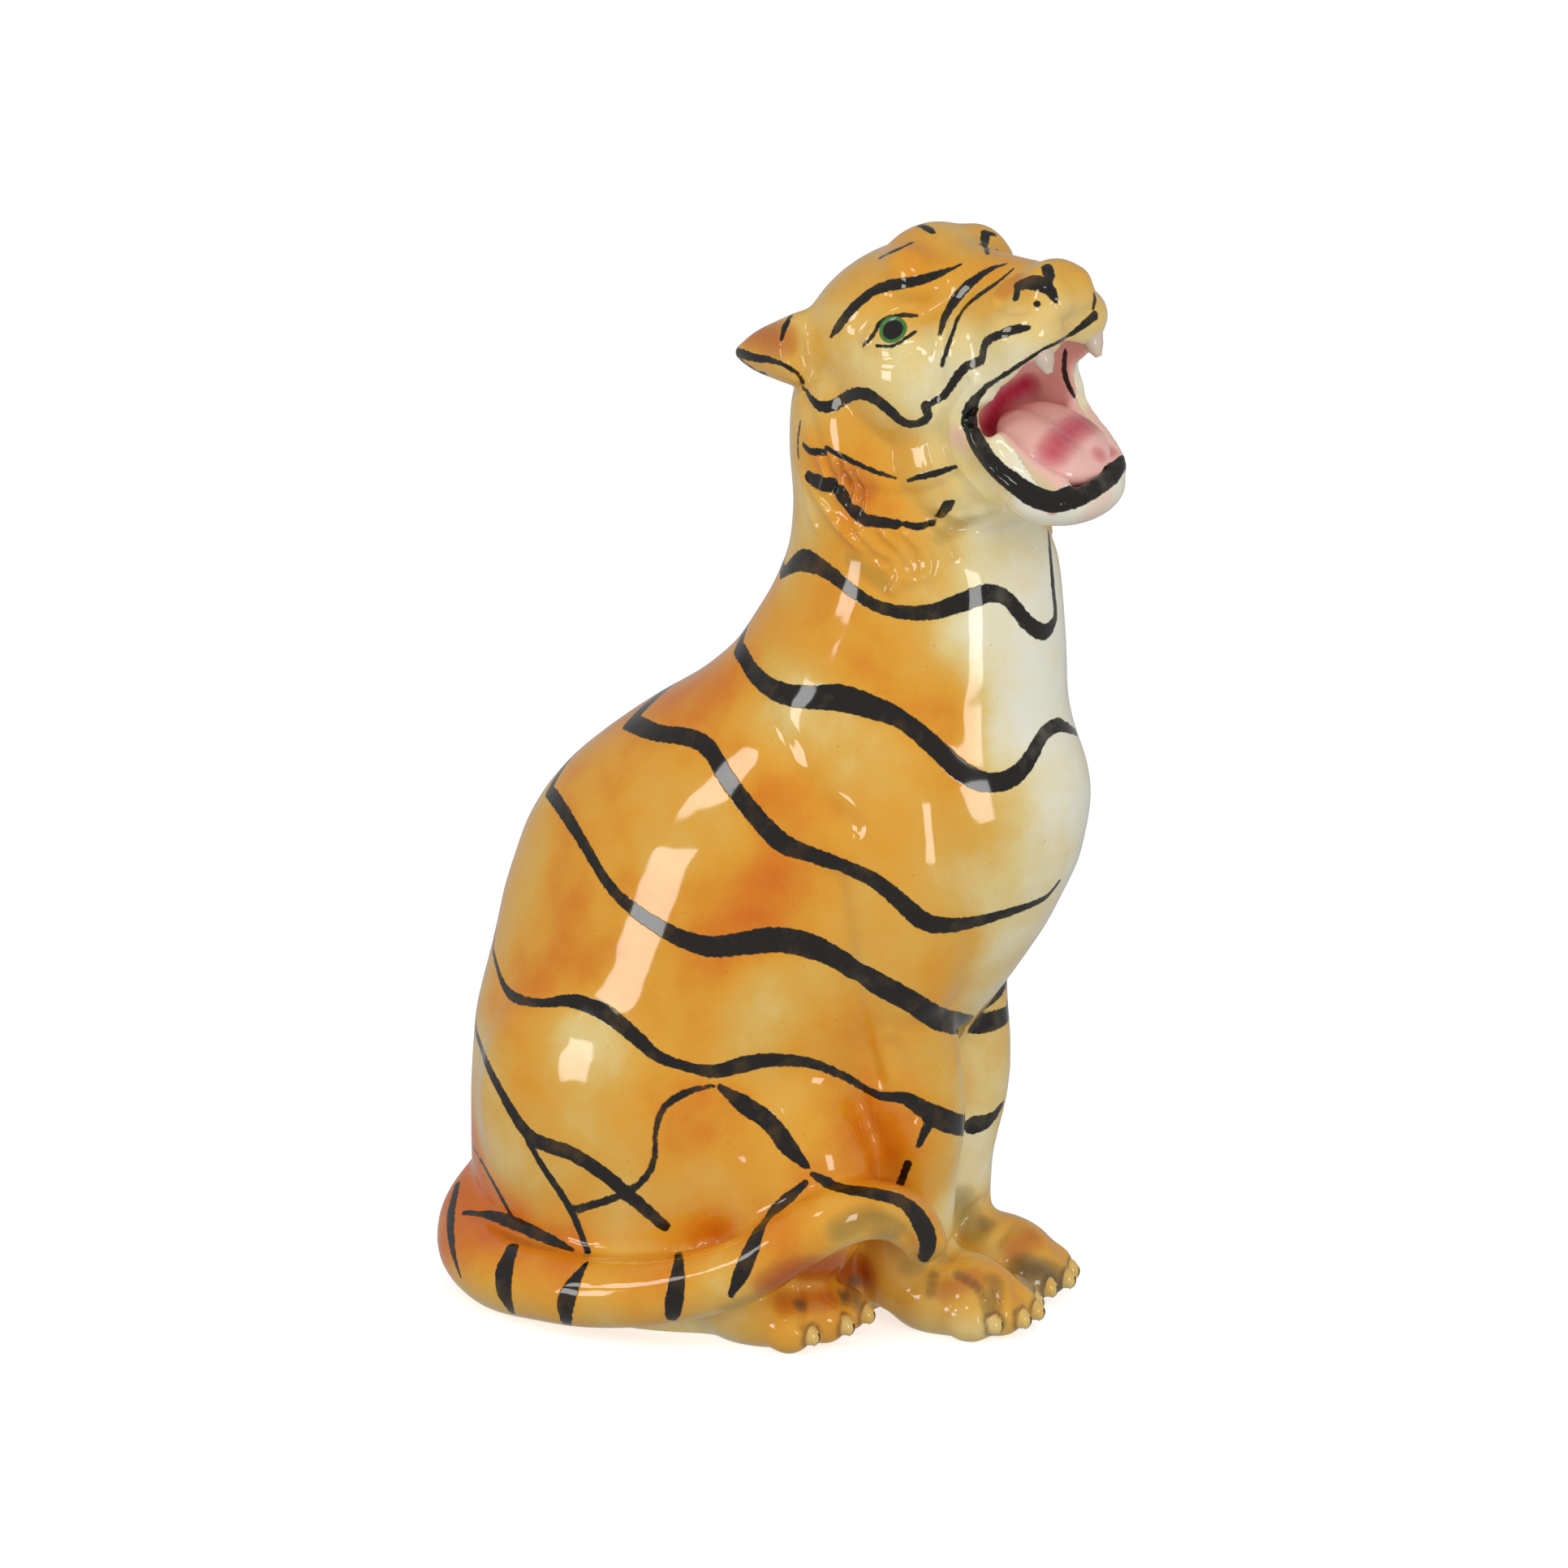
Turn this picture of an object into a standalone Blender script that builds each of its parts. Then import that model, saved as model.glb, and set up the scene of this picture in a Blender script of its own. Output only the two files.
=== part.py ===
"""Seated roaring tiger in hand-painted glazed earthenware.

The figure is slip-cast in separate pieces that are luted together before the
firing: a hollow body, a hollow head with an open mouth, a lower jaw, a tongue,
fangs, ears, forelegs, hind paws, a tail laid round the right haunch, and small
pressed claws. Every piece keeps a thin slip joint to its neighbours.

The tiger faces -Y, its right side is -X, and it stands on the plane Z = 0.
"""

import math

import bmesh
import bpy
import numpy as np
from mathutils import Euler, Matrix, Vector

MM = 0.001

# Walls, joints and mesh fineness
WALL = 6.5 * MM
JOINT_GAP = 0.3 * MM
BODY_VOXEL = 4.0 * MM
FIGURE_VOXEL = 2.6 * MM
CORE_VOXEL = 6.0 * MM
BODY_SOFTENING = 14
HEAD_SOFTENING = 8
FIGURE_SOFTENING = 3
CORE_SOFTENING = 2
OUTER_FACES = 6600
CORE_FACES = 600
CRUMB_SHARE = 0.02

# Trunk sections from the foot to the nape: height, half width, back and front edge along Y
TRUNK_SECTIONS = (
    (0 * MM, 72 * MM, 99 * MM, -72 * MM),
    (12 * MM, 77 * MM, 104 * MM, -76 * MM),
    (45 * MM, 80 * MM, 108 * MM, -80 * MM),
    (80 * MM, 80 * MM, 108 * MM, -86 * MM),
    (110 * MM, 79 * MM, 106 * MM, -98 * MM),
    (141 * MM, 76 * MM, 98 * MM, -120 * MM),
    (161 * MM, 74 * MM, 94 * MM, -133 * MM),
    (188 * MM, 71 * MM, 85 * MM, -146 * MM),
    (202 * MM, 69 * MM, 77 * MM, -149 * MM),
    (215 * MM, 66 * MM, 66 * MM, -151 * MM),
    (228 * MM, 63 * MM, 51 * MM, -149 * MM),
    (242 * MM, 59 * MM, 32 * MM, -143 * MM),
    (255 * MM, 55 * MM, 11 * MM, -140 * MM),
    (269 * MM, 52 * MM, -5 * MM, -140 * MM),
    (295 * MM, 48 * MM, -21 * MM, -138 * MM),
    (312 * MM, 46 * MM, -28 * MM, -136 * MM),
    (332 * MM, 45 * MM, -30 * MM, -126 * MM),
    (352 * MM, 44 * MM, -28 * MM, -110 * MM),
    (374 * MM, 42 * MM, -29 * MM, -100 * MM),
    (392 * MM, 35 * MM, -36 * MM, -92 * MM),
)
SECTION_POINTS = 32

# Haunches, knees and shoulders: centre (outward, Y, Z) and radii
HAUNCH_CENTRE = (46 * MM, 12 * MM, 82 * MM)
HAUNCH_RADII = (38 * MM, 78 * MM, 76 * MM)
KNEE_CENTRE = (58 * MM, -46 * MM, 64 * MM)
KNEE_RADII = (26 * MM, 37 * MM, 46 * MM)
SHOULDER_CENTRE = (42 * MM, -82 * MM, 190 * MM)
SHOULDER_RADII = (26 * MM, 36 * MM, 72 * MM)

# Forelegs: path (outward, Y, Z) and radius
LEG_PATH = (
    ((36 * MM, -82 * MM, 152 * MM), 24 * MM),
    ((32 * MM, -82 * MM, 126 * MM), 24.5 * MM),
    ((28 * MM, -87 * MM, 90 * MM), 22.5 * MM),
    ((23 * MM, -84 * MM, 55 * MM), 20 * MM),
    ((23 * MM, -84 * MM, 25 * MM), 19.5 * MM),
    ((23 * MM, -86 * MM, 8 * MM), 17 * MM),
)

# Forepaws: centre (outward, Y, Z), radii, and the toes with their outward places
FOREPAW_CENTRE = (24 * MM, -103 * MM, 13 * MM)
FOREPAW_RADII = (21 * MM, 29 * MM, 18 * MM)
FORETOE_RADII = (8 * MM, 12 * MM, 10 * MM)
FORETOES = (
    (9 * MM, -123 * MM, 9 * MM),
    (20 * MM, -127 * MM, 9.5 * MM),
    (31 * MM, -125 * MM, 9.5 * MM),
    (40 * MM, -116 * MM, 9 * MM),
)

# Half width of the block that holds both forelegs, just inside the outermost toe's edge
LEG_SEAM_INSET = 2 * MM
LEG_SEAM_WIDTH = FORETOES[-1][0] + FORETOE_RADII[0] - LEG_SEAM_INSET

# Hind paws, set outside the foreleg block and under the tail
HINDPAW_CENTRE = (LEG_SEAM_WIDTH + 16 * MM, -38 * MM, 13 * MM)
HINDPAW_RADII = (22 * MM, 32 * MM, 17 * MM)
HINDTOE_RADII = (8.5 * MM, 11 * MM, 10 * MM)
HINDTOES = (
    (LEG_SEAM_WIDTH + 31 * MM, -53 * MM, 9 * MM),
    (LEG_SEAM_WIDTH + 18 * MM, -63 * MM, 10 * MM),
    (LEG_SEAM_WIDTH + 5 * MM, -67 * MM, 11 * MM),
)

# Tail: path (X, Y, Z) from the rump round the right haunch, and radius
TAIL_PATH = (
    ((26 * MM, 84 * MM, 46 * MM), 12 * MM),
    ((0 * MM, 93 * MM, 36 * MM), 15.5 * MM),
    ((-30 * MM, 97 * MM, 22 * MM), 17 * MM),
    ((-64 * MM, 78 * MM, 16 * MM), 16 * MM),
    ((-81 * MM, 48 * MM, 17 * MM), 15 * MM),
    ((-88 * MM, 16 * MM, 20 * MM), 14.5 * MM),
    ((-90 * MM, -14 * MM, 27 * MM), 14 * MM),
    ((-89 * MM, -40 * MM, 37 * MM), 13.5 * MM),
    ((-86 * MM, -60 * MM, 51 * MM), 13 * MM),
    ((-79 * MM, -76 * MM, 60 * MM), 12.5 * MM),
    ((-67 * MM, -89 * MM, 60 * MM), 12 * MM),
    ((-56 * MM, -98 * MM, 51 * MM), 11 * MM),
    ((-50 * MM, -103 * MM, 38 * MM), 8.5 * MM),
)
TAIL_SEAM = 1.2 * MM

# Head: pivot on the body, turn to the tiger's right and lean to the same side
HEAD_PIVOT = (0 * MM, -73 * MM, 405 * MM)
HEAD_TURN = math.radians(26)
HEAD_LEAN = math.radians(5)
SKULL_CENTRE = (0 * MM, 0 * MM, -3 * MM)
SKULL_RADII = (42 * MM, 44 * MM, 30 * MM)
SKULL_PITCH = math.radians(35)

# Forms on the middle line of the head: centre (forward, right, up),
# radii (across, along, high) and the pitch that tips the front up
HEAD_FORMS = (
    ("skull", SKULL_CENTRE, SKULL_RADII, SKULL_PITCH),
    ("forehead", (18 * MM, 0 * MM, 13 * MM), (29 * MM, 22 * MM, 27 * MM), 0),
    ("nape", (-6 * MM, 0 * MM, -26 * MM), (40 * MM, 35 * MM, 34 * MM), 0),
    ("nose", (82.5 * MM, 0 * MM, 26.5 * MM), (14.5 * MM, 9 * MM, 9.5 * MM), 0),
    ("throat", (30 * MM, 0 * MM, -50 * MM), (37 * MM, 38 * MM, 34 * MM), 0),
    ("chin", (83 * MM, 0 * MM, -55 * MM), (27 * MM, 22 * MM, 14 * MM), math.radians(-6)),
    ("muzzle", (62 * MM, 0 * MM, 8 * MM), (25 * MM, 30 * MM, 18 * MM), math.radians(17)),
)

# Forms on both sides of the head, laid out in the same way
HEAD_PAIRS = (
    ("brow", (26 * MM, 18 * MM, 24 * MM), (11 * MM, 15 * MM, 12 * MM), math.radians(-29)),
    ("malar", (46 * MM, 18 * MM, -4 * MM), (15 * MM, 24 * MM, 18 * MM), math.radians(29)),
    ("cheek", (19 * MM, 26 * MM, -15 * MM), (18 * MM, 32 * MM, 28 * MM), 0),
    ("eyeball", (21 * MM, 24 * MM, 5 * MM), (10 * MM, 12 * MM, 11 * MM), 0),
    ("mouth corner", (56 * MM, 23 * MM, -27 * MM), (7.5 * MM, 18 * MM, 18 * MM), 0),
    ("whisker pad", (74 * MM, 12 * MM, 7 * MM), (15.5 * MM, 22.5 * MM, 14.5 * MM), math.radians(20)),
)

# Bars of the head and the thick lip of each side: place (forward, right, up) and radius
HEAD_BARS = {
    "bridge": (
        ((22 * MM, 0 * MM, 15 * MM), 21 * MM),
        ((52 * MM, 0 * MM, 16 * MM), 17.5 * MM),
        ((75 * MM, 0 * MM, 19 * MM), 14.5 * MM),
    ),
    "jaw": (
        ((36 * MM, 0 * MM, -44 * MM), 30 * MM),
        ((62 * MM, 0 * MM, -47 * MM), 26 * MM),
        ((80 * MM, 0 * MM, -50 * MM), 21 * MM),
    ),
}
LIP_PATH = (
    ((48 * MM, 21 * MM, -18 * MM), 9 * MM),
    ((62 * MM, 19 * MM, -9 * MM), 10 * MM),
    ((82 * MM, 15 * MM, 3 * MM), 10 * MM),
)

# Neck seam of the separately cast head
NECK_SEAM_HEIGHT = 300 * MM
NECK_SEAM_SLOPE = math.radians(8)

# Open mouth in the head's side view: forward of the pivot and above it
GAPE_OUTLINE = (
    (59 * MM, -25 * MM),
    (84 * MM, -4 * MM),
    (125 * MM, 22 * MM),
    (125 * MM, -60 * MM),
    (99 * MM, -55 * MM),
    (70 * MM, -43 * MM),
    (61 * MM, -33 * MM),
)
GAPE_HINGE = 25 * MM
GAPE_TURN = math.radians(14)
GAPE_HALF_WIDTH = 60 * MM
MOUTH_OUTLINE = (
    (44 * MM, -26 * MM),
    (60 * MM, -6 * MM),
    (84 * MM, 8 * MM),
    (92 * MM, -10 * MM),
    (96 * MM, -58 * MM),
    (66 * MM, -53 * MM),
    (48 * MM, -40 * MM),
)
MOUTH_HALF_WIDTH = 20 * MM

# Fangs, tongue, ears and claws
FANG_ROOT = (89 * MM, 13.5 * MM, 9 * MM)
FANG_LENGTH = 15 * MM
FANG_RADIUS = 3.8 * MM
FANG_MID_TAPER = 0.75
FANG_TIP_RADIUS = 0.9 * MM
FANG_RAKE = 5 * MM
TONGUE_CENTRE = (72 * MM, 0 * MM, -49 * MM)
TONGUE_RADII = (16 * MM, 26 * MM, 7 * MM)
TONGUE_SLOPE = math.radians(20)
EAR_ROOT = (-17 * MM, 36 * MM, -8 * MM)
EAR_TIP = (-52 * MM, 45 * MM, -13 * MM)
EAR_RADIUS = 16.5 * MM
EAR_TAPER_PLACE = 0.55
EAR_TAPER = 0.62
EAR_TIP_RADIUS = 2 * MM
EAR_HOLLOW = (-33 * MM, 54 * MM, -20 * MM)
EAR_HOLLOW_RADII = (8 * MM, 13 * MM, 8 * MM)
CLAW_RADII = (3.4 * MM, 4.6 * MM, 4.2 * MM)
CLAW_REACH = 0.82
CLAW_DROP = 1 * MM

# Pouring hole in the foot, and the seams of the separately cast limbs
POUR_HOLE_RADIUS = 19 * MM
POUR_HOLE_Y = 20 * MM
LEG_SEAM_HEIGHT = 134 * MM
LEG_SEAM_Y = -60 * MM
LEG_CORE_RADIUS = 12 * MM
LEG_CORE_FOOT = 24 * MM
HINDPAW_SEAM_LOW = (LEG_SEAM_WIDTH - 8 * MM, -90 * MM)
HINDPAW_SEAM_HIGH = (LEG_SEAM_WIDTH + 46 * MM, -24 * MM, 27 * MM)
EAR_SEAM_PLACE = 0.68
EAR_SEAM_RADII = (18 * MM, 20 * MM, 21 * MM)
JAW_SEAM_OUTLINE = (
    (60 * MM, -29 * MM),
    (140 * MM, -29 * MM),
    (140 * MM, -92 * MM),
    (68 * MM, -78 * MM),
    (50 * MM, -62 * MM),
)

# A reach that clears the whole figure, for half-space cutters
BEYOND = 300 * MM

SIDES = {"right": -1, "left": 1}

COLOURS = {
    "glaze_orange": (0.80, 0.36, 0.07, 0.12),
    "glaze_ivory": (0.84, 0.78, 0.58, 0.12),
    "glaze_pink": (0.80, 0.32, 0.36, 0.15),
    "glaze_tooth": (0.86, 0.82, 0.74, 0.15),
    "glaze_umber": (0.25, 0.17, 0.10, 0.18),
}


def clear_scene():
    for item in list(bpy.data.objects):
        bpy.data.objects.remove(item)


def make_collection(name):
    collection = bpy.data.collections.new(name)
    bpy.context.scene.collection.children.link(collection)
    return collection


def material(name):
    red, green, blue, roughness = COLOURS[name]
    glaze = bpy.data.materials.get(name)
    if glaze is None:
        glaze = bpy.data.materials.new(name)
        glaze.use_nodes = True
        shader = glaze.node_tree.nodes["Principled BSDF"]
        shader.inputs["Base Color"].default_value = (red, green, blue, 1)
        shader.inputs["Roughness"].default_value = roughness
        shader.inputs["Metallic"].default_value = 0
    return glaze


def activate(item):
    bpy.ops.object.select_all(action="DESELECT")
    item.select_set(True)
    bpy.context.view_layer.objects.active = item


def apply_modifiers(item):
    activate(item)
    for modifier in list(item.modifiers):
        bpy.ops.object.modifier_apply(modifier=modifier.name)
    return item


def ellipsoid(name, centre, radii, turn=(0, 0, 0), segments=32):
    bpy.ops.mesh.primitive_uv_sphere_add(segments=segments, ring_count=segments // 2, radius=1)
    item = bpy.context.object
    item.name = name
    placed = Matrix.Translation(Vector(centre)) @ Euler(turn).to_matrix().to_4x4()
    item.data.transform(placed @ Matrix.Diagonal((*radii, 1)))
    return item


def box(name, low, high, bevel=0.0):
    bpy.ops.mesh.primitive_cube_add(size=1)
    item = bpy.context.object
    item.name = name
    centre = (Vector(low) + Vector(high)) / 2
    size = Vector(high) - Vector(low)
    item.data.transform(Matrix.Translation(centre) @ Matrix.Diagonal((*size, 1)))
    if bevel:
        rounded = item.modifiers.new("bevel", "BEVEL")
        rounded.width = bevel
        rounded.segments = 3
        apply_modifiers(item)
    return item


def tube(name, path, sides=20, steps=5, extra=0.0):
    """A round bar along a smooth path, with its radius at each point."""
    curve = bpy.data.curves.new(name, "CURVE")
    curve.dimensions = "3D"
    curve.bevel_depth = 1
    curve.bevel_resolution = sides // 4
    curve.resolution_u = steps
    curve.use_fill_caps = True
    spline = curve.splines.new("BEZIER")
    spline.bezier_points.add(len(path) - 1)
    for knot, (place, radius) in zip(spline.bezier_points, path):
        knot.co = place
        knot.radius = radius + extra
        knot.handle_left_type = "AUTO"
        knot.handle_right_type = "AUTO"
    holder = bpy.data.objects.new(name, curve)
    bpy.context.scene.collection.objects.link(holder)
    bpy.context.view_layer.update()
    shape = bpy.data.meshes.new_from_object(holder.evaluated_get(bpy.context.evaluated_depsgraph_get()))
    bpy.data.objects.remove(holder)
    merged = bmesh.new()
    merged.from_mesh(shape)
    bmesh.ops.remove_doubles(merged, verts=merged.verts, dist=0.001 * MM)
    merged.to_mesh(shape)
    merged.free()
    item = bpy.data.objects.new(name, shape)
    bpy.context.scene.collection.objects.link(item)
    return item


def section(height, half_width, back, front, inset):
    """One oval ring of the trunk, pulled in by the inset."""
    middle = (back + front) / 2
    depth = (back - front) / 2 - inset
    width = half_width - inset
    ring = []
    for index in range(SECTION_POINTS):
        angle = 2 * math.pi * index / SECTION_POINTS
        ring.append(Vector((width * math.cos(angle), middle + depth * math.sin(angle), height)))
    return ring


def trunk(name, inset=0.0):
    """The body from the foot to the nape, lofted through its sections."""
    shape = bmesh.new()
    rings = []
    for height, half_width, back, front in TRUNK_SECTIONS:
        points = section(height, half_width, back, front, inset)
        rings.append([shape.verts.new(point) for point in points])
    for lower, upper in zip(rings, rings[1:]):
        for index in range(SECTION_POINTS):
            after = (index + 1) % SECTION_POINTS
            shape.faces.new((lower[index], lower[after], upper[after], upper[index]))
    shape.faces.new(list(reversed(rings[0])))
    shape.faces.new(rings[-1])
    mesh = bpy.data.meshes.new(name)
    shape.to_mesh(mesh)
    shape.free()
    item = bpy.data.objects.new(name, mesh)
    bpy.context.scene.collection.objects.link(item)
    return item


def joined(name, pieces):
    bpy.ops.object.select_all(action="DESELECT")
    for piece in pieces:
        piece.select_set(True)
    bpy.context.view_layer.objects.active = pieces[0]
    bpy.ops.object.join()
    pieces[0].name = name
    return pieces[0]


def fuse(name, pieces, voxel, rounds):
    """Join overlapping forms into one skin and soften the creases between them."""
    item = joined(name, pieces)
    remesh = item.modifiers.new("remesh", "REMESH")
    remesh.mode = "VOXEL"
    remesh.voxel_size = voxel
    if rounds:
        smooth = item.modifiers.new("smooth", "SMOOTH")
        smooth.factor = 0.5
        smooth.iterations = rounds
    return apply_modifiers(item)


def boolean(item, cutter, operation, keep=True):
    cut = item.modifiers.new("cut", "BOOLEAN")
    cut.operation = operation
    cut.object = cutter
    cut.solver = "EXACT"
    apply_modifiers(item)
    if not keep:
        bpy.data.objects.remove(cutter)
    return item


def copy_of(item, name):
    twin = item.copy()
    twin.data = item.data.copy()
    twin.name = name
    bpy.context.scene.collection.objects.link(twin)
    return twin


def mirrored(place, side):
    outward, along, height = place
    return (side * outward, along, height)


def in_head(forward, right, up):
    """A point of the head: forward of the pivot, to the tiger's right, and up."""
    return Vector((-right, -forward, up))


def head_matrix():
    turned = Matrix.Rotation(-HEAD_TURN, 4, "Z") @ Matrix.Rotation(-HEAD_LEAN, 4, "Y")
    return Matrix.Translation(Vector(HEAD_PIVOT)) @ turned


def pitched(angle):
    """Turn of a form that tips its front up by the angle."""
    return (-angle, 0, 0)


def body_masses(inset=0.0):
    pieces = [trunk("trunk", inset)]
    for side in SIDES.values():
        haunch = [radius - inset for radius in HAUNCH_RADII]
        pieces.append(ellipsoid("haunch", mirrored(HAUNCH_CENTRE, side), haunch))
        shoulder = [radius - inset for radius in SHOULDER_RADII]
        pieces.append(ellipsoid("shoulder", mirrored(SHOULDER_CENTRE, side), shoulder))
        if not inset:
            pieces.append(ellipsoid("knee", mirrored(KNEE_CENTRE, side), KNEE_RADII))
    return pieces


def limb_masses():
    pieces = []
    for side in SIDES.values():
        path = [(mirrored(place, side), radius) for place, radius in LEG_PATH]
        pieces.append(tube("leg", path))
        pieces.append(ellipsoid("forepaw", mirrored(FOREPAW_CENTRE, side), FOREPAW_RADII))
        for toe in FORETOES:
            pieces.append(ellipsoid("toe", mirrored(toe, side), FORETOE_RADII))
        pieces.append(ellipsoid("hindpaw", mirrored(HINDPAW_CENTRE, side), HINDPAW_RADII))
        for toe in HINDTOES:
            pieces.append(ellipsoid("toe", mirrored(toe, side), HINDTOE_RADII))
    pieces.append(tube("tail", TAIL_PATH))
    return pieces


def head_masses():
    """Skull, brows, cheeks, bridge, muzzle, jaw and ears in the head's own frame."""
    pieces = []
    for name, centre, radii, pitch in HEAD_FORMS:
        pieces.append(ellipsoid(name, in_head(*centre), radii, pitched(pitch)))
    for name, path in HEAD_BARS.items():
        pieces.append(tube(name, [(in_head(*place), radius) for place, radius in path]))
    for side in SIDES.values():
        for name, (forward, right, up), radii, pitch in HEAD_PAIRS:
            centre = in_head(forward, -side * right, up)
            pieces.append(ellipsoid(name, centre, radii, pitched(pitch)))
        lip = [(in_head(forward, -side * right, up), radius)
               for (forward, right, up), radius in LIP_PATH]
        pieces.append(tube("lip", lip))
        root, tip = ear_line(side)
        pieces.append(tube("ear", (
            (root, EAR_RADIUS),
            (root.lerp(tip, EAR_TAPER_PLACE), EAR_RADIUS * EAR_TAPER),
            (tip, EAR_TIP_RADIUS),
        )))
    return pieces


def ear_line(side):
    """Root and tip of one ear in the head's own frame."""
    forward, right, up = EAR_ROOT
    root = in_head(forward, -side * right, up)
    forward, right, up = EAR_TIP
    return root, in_head(forward, -side * right, up)


def gape_form(name):
    """The opening between the jaws, cut through from side to side."""
    form = prism(name, GAPE_OUTLINE, GAPE_HALF_WIDTH, 2 * MM)
    hinge = Matrix.Translation(in_head(GAPE_OUTLINE[0][0], GAPE_HINGE, 0))
    form.data.transform(hinge @ Matrix.Rotation(-GAPE_TURN, 4, "Z") @ hinge.inverted())
    return form


def mouth_form(name):
    """The hollow of the mouth behind the lips, from palate to jaw floor."""
    return prism(name, MOUTH_OUTLINE, MOUTH_HALF_WIDTH, 5 * MM)


def prism(name, outline, half_width, bevel=0.0):
    """A side-view outline of the head (forward, up) given width to both sides."""
    shape = bmesh.new()
    near = [shape.verts.new(in_head(forward, half_width, up)) for forward, up in outline]
    far = [shape.verts.new(in_head(forward, -half_width, up)) for forward, up in outline]
    count = len(outline)
    shape.faces.new(near)
    shape.faces.new(list(reversed(far)))
    for index in range(count):
        after = (index + 1) % count
        shape.faces.new((near[after], near[index], far[index], far[after]))
    bmesh.ops.recalc_face_normals(shape, faces=shape.faces)
    mesh = bpy.data.meshes.new(name)
    shape.to_mesh(mesh)
    shape.free()
    item = bpy.data.objects.new(name, mesh)
    bpy.context.scene.collection.objects.link(item)
    if bevel:
        rounded = item.modifiers.new("bevel", "BEVEL")
        rounded.width = bevel
        rounded.segments = 3
        apply_modifiers(item)
    return item


def whole_figure():
    """The outside of the tiger before its foot is levelled and it is parted into castings."""
    body = fuse("body", body_masses(), BODY_VOXEL, BODY_SOFTENING)
    body = fuse("body", [body] + limb_masses(), FIGURE_VOXEL, FIGURE_SOFTENING)
    head = fuse("head", head_masses(), FIGURE_VOXEL, HEAD_SOFTENING)
    boolean(head, gape_form("gape"), "DIFFERENCE", keep=False)
    boolean(head, mouth_form("mouth"), "DIFFERENCE", keep=False)
    for side in SIDES.values():
        forward, right, up = EAR_HOLLOW
        hollow = ellipsoid("ear hollow", in_head(forward, -side * right, up), EAR_HOLLOW_RADII)
        boolean(head, hollow, "DIFFERENCE", keep=False)
    head.data.transform(head_matrix())
    return fuse("figure", [body, head], FIGURE_VOXEL, FIGURE_SOFTENING)


def grown(cutter, gap):
    """A copy of a cutter with every face moved out by the joint gap."""
    wider = copy_of(cutter, cutter.name + " grown")
    shape = bmesh.new()
    shape.from_mesh(wider.data)
    shape.normal_update()
    moves = []
    for vert in shape.verts:
        normals = np.array([face.normal for face in vert.link_faces])
        move = np.linalg.lstsq(normals, np.full(len(normals), gap), rcond=0.05)[0]
        moves.append(Vector(move))
    for vert, move in zip(shape.verts, moves):
        vert.co += move
    shape.to_mesh(wider.data)
    shape.free()
    return wider


def thinned(item, faces):
    """Collapse a fine skin to about the wanted number of faces."""
    triangles = sum(len(face.vertices) - 2 for face in item.data.polygons)
    fewer = item.modifiers.new("fewer", "DECIMATE")
    fewer.ratio = min(1.0, faces / triangles)
    return apply_modifiers(item)


def levelled(figure):
    """Cut the figure off flat at the plane it stands on."""
    below = box("below", (-BEYOND, -BEYOND, -BEYOND), (BEYOND, BEYOND, 0))
    return boolean(figure, below, "DIFFERENCE", keep=False)


def inner_core():
    """The hollow left when the slip is poured out, with the hole in the foot."""
    pieces = [trunk("core", WALL)]
    for side in SIDES.values():
        leg = [((side * place[0], place[1], max(place[2], LEG_CORE_FOOT)), LEG_CORE_RADIUS)
               for place, radius in LEG_PATH[:-2]]
        pieces.append(tube("leg core", leg))
    skull = ellipsoid("skull core", in_head(*SKULL_CENTRE), [radius - WALL for radius in SKULL_RADII],
                      pitched(SKULL_PITCH))
    skull.data.transform(head_matrix())
    pieces.append(skull)
    core = fuse("core", pieces, CORE_VOXEL, CORE_SOFTENING)
    tail_wall = tube("tail wall", TAIL_PATH, sides=8, steps=2, extra=WALL)
    boolean(core, tail_wall, "DIFFERENCE", keep=False)
    foot = box("foot", (-BEYOND, -BEYOND, -BEYOND), (BEYOND, BEYOND, WALL))
    boolean(core, foot, "DIFFERENCE", keep=False)
    thinned(core, CORE_FACES)
    bpy.ops.mesh.primitive_cylinder_add(vertices=32, radius=POUR_HOLE_RADIUS, depth=4 * WALL,
                                        location=(0, POUR_HOLE_Y, 0))
    return boolean(core, bpy.context.object, "UNION", keep=False)


def neck_form():
    """Everything above the neck seam."""
    form = box("above neck", (-BEYOND, -BEYOND, 0), (BEYOND, BEYOND, BEYOND))
    middle = (0, HEAD_PIVOT[1], NECK_SEAM_HEIGHT)
    form.data.transform(Matrix.Translation(middle) @ Matrix.Rotation(NECK_SEAM_SLOPE, 4, "X"))
    return form


def take(name, figure, cutter, glaze, parts):
    """Cut one casting off the figure and leave the joint gap round it."""
    piece = copy_of(figure, name)
    boolean(piece, cutter, "INTERSECT")
    boolean(figure, grown(cutter, JOINT_GAP), "DIFFERENCE", keep=False)
    bpy.data.objects.remove(cutter)
    finish(piece, glaze, parts)
    return piece


def sink(holder, inserts):
    """Leave a socket with the joint gap for each piece set into the holder."""
    for insert in inserts:
        boolean(holder, grown(insert, JOINT_GAP), "DIFFERENCE", keep=False)


def without_crumbs(piece):
    """Throw away small crumbs that a cut leaves loose beside the casting."""
    shape = bmesh.new()
    shape.from_mesh(piece.data)
    unseen = set(shape.verts)
    bodies = []
    while unseen:
        body = set()
        edge_of_body = [unseen.pop()]
        while edge_of_body:
            vert = edge_of_body.pop()
            body.add(vert)
            for edge in vert.link_edges:
                other = edge.other_vert(vert)
                if other in unseen:
                    unseen.remove(other)
                    edge_of_body.append(other)
        bodies.append(body)
    largest = max(len(body) for body in bodies)
    for body in bodies:
        if len(body) < largest * CRUMB_SHARE:
            bmesh.ops.delete(shape, geom=list(body), context="VERTS")
    shape.to_mesh(piece.data)
    shape.free()


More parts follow.
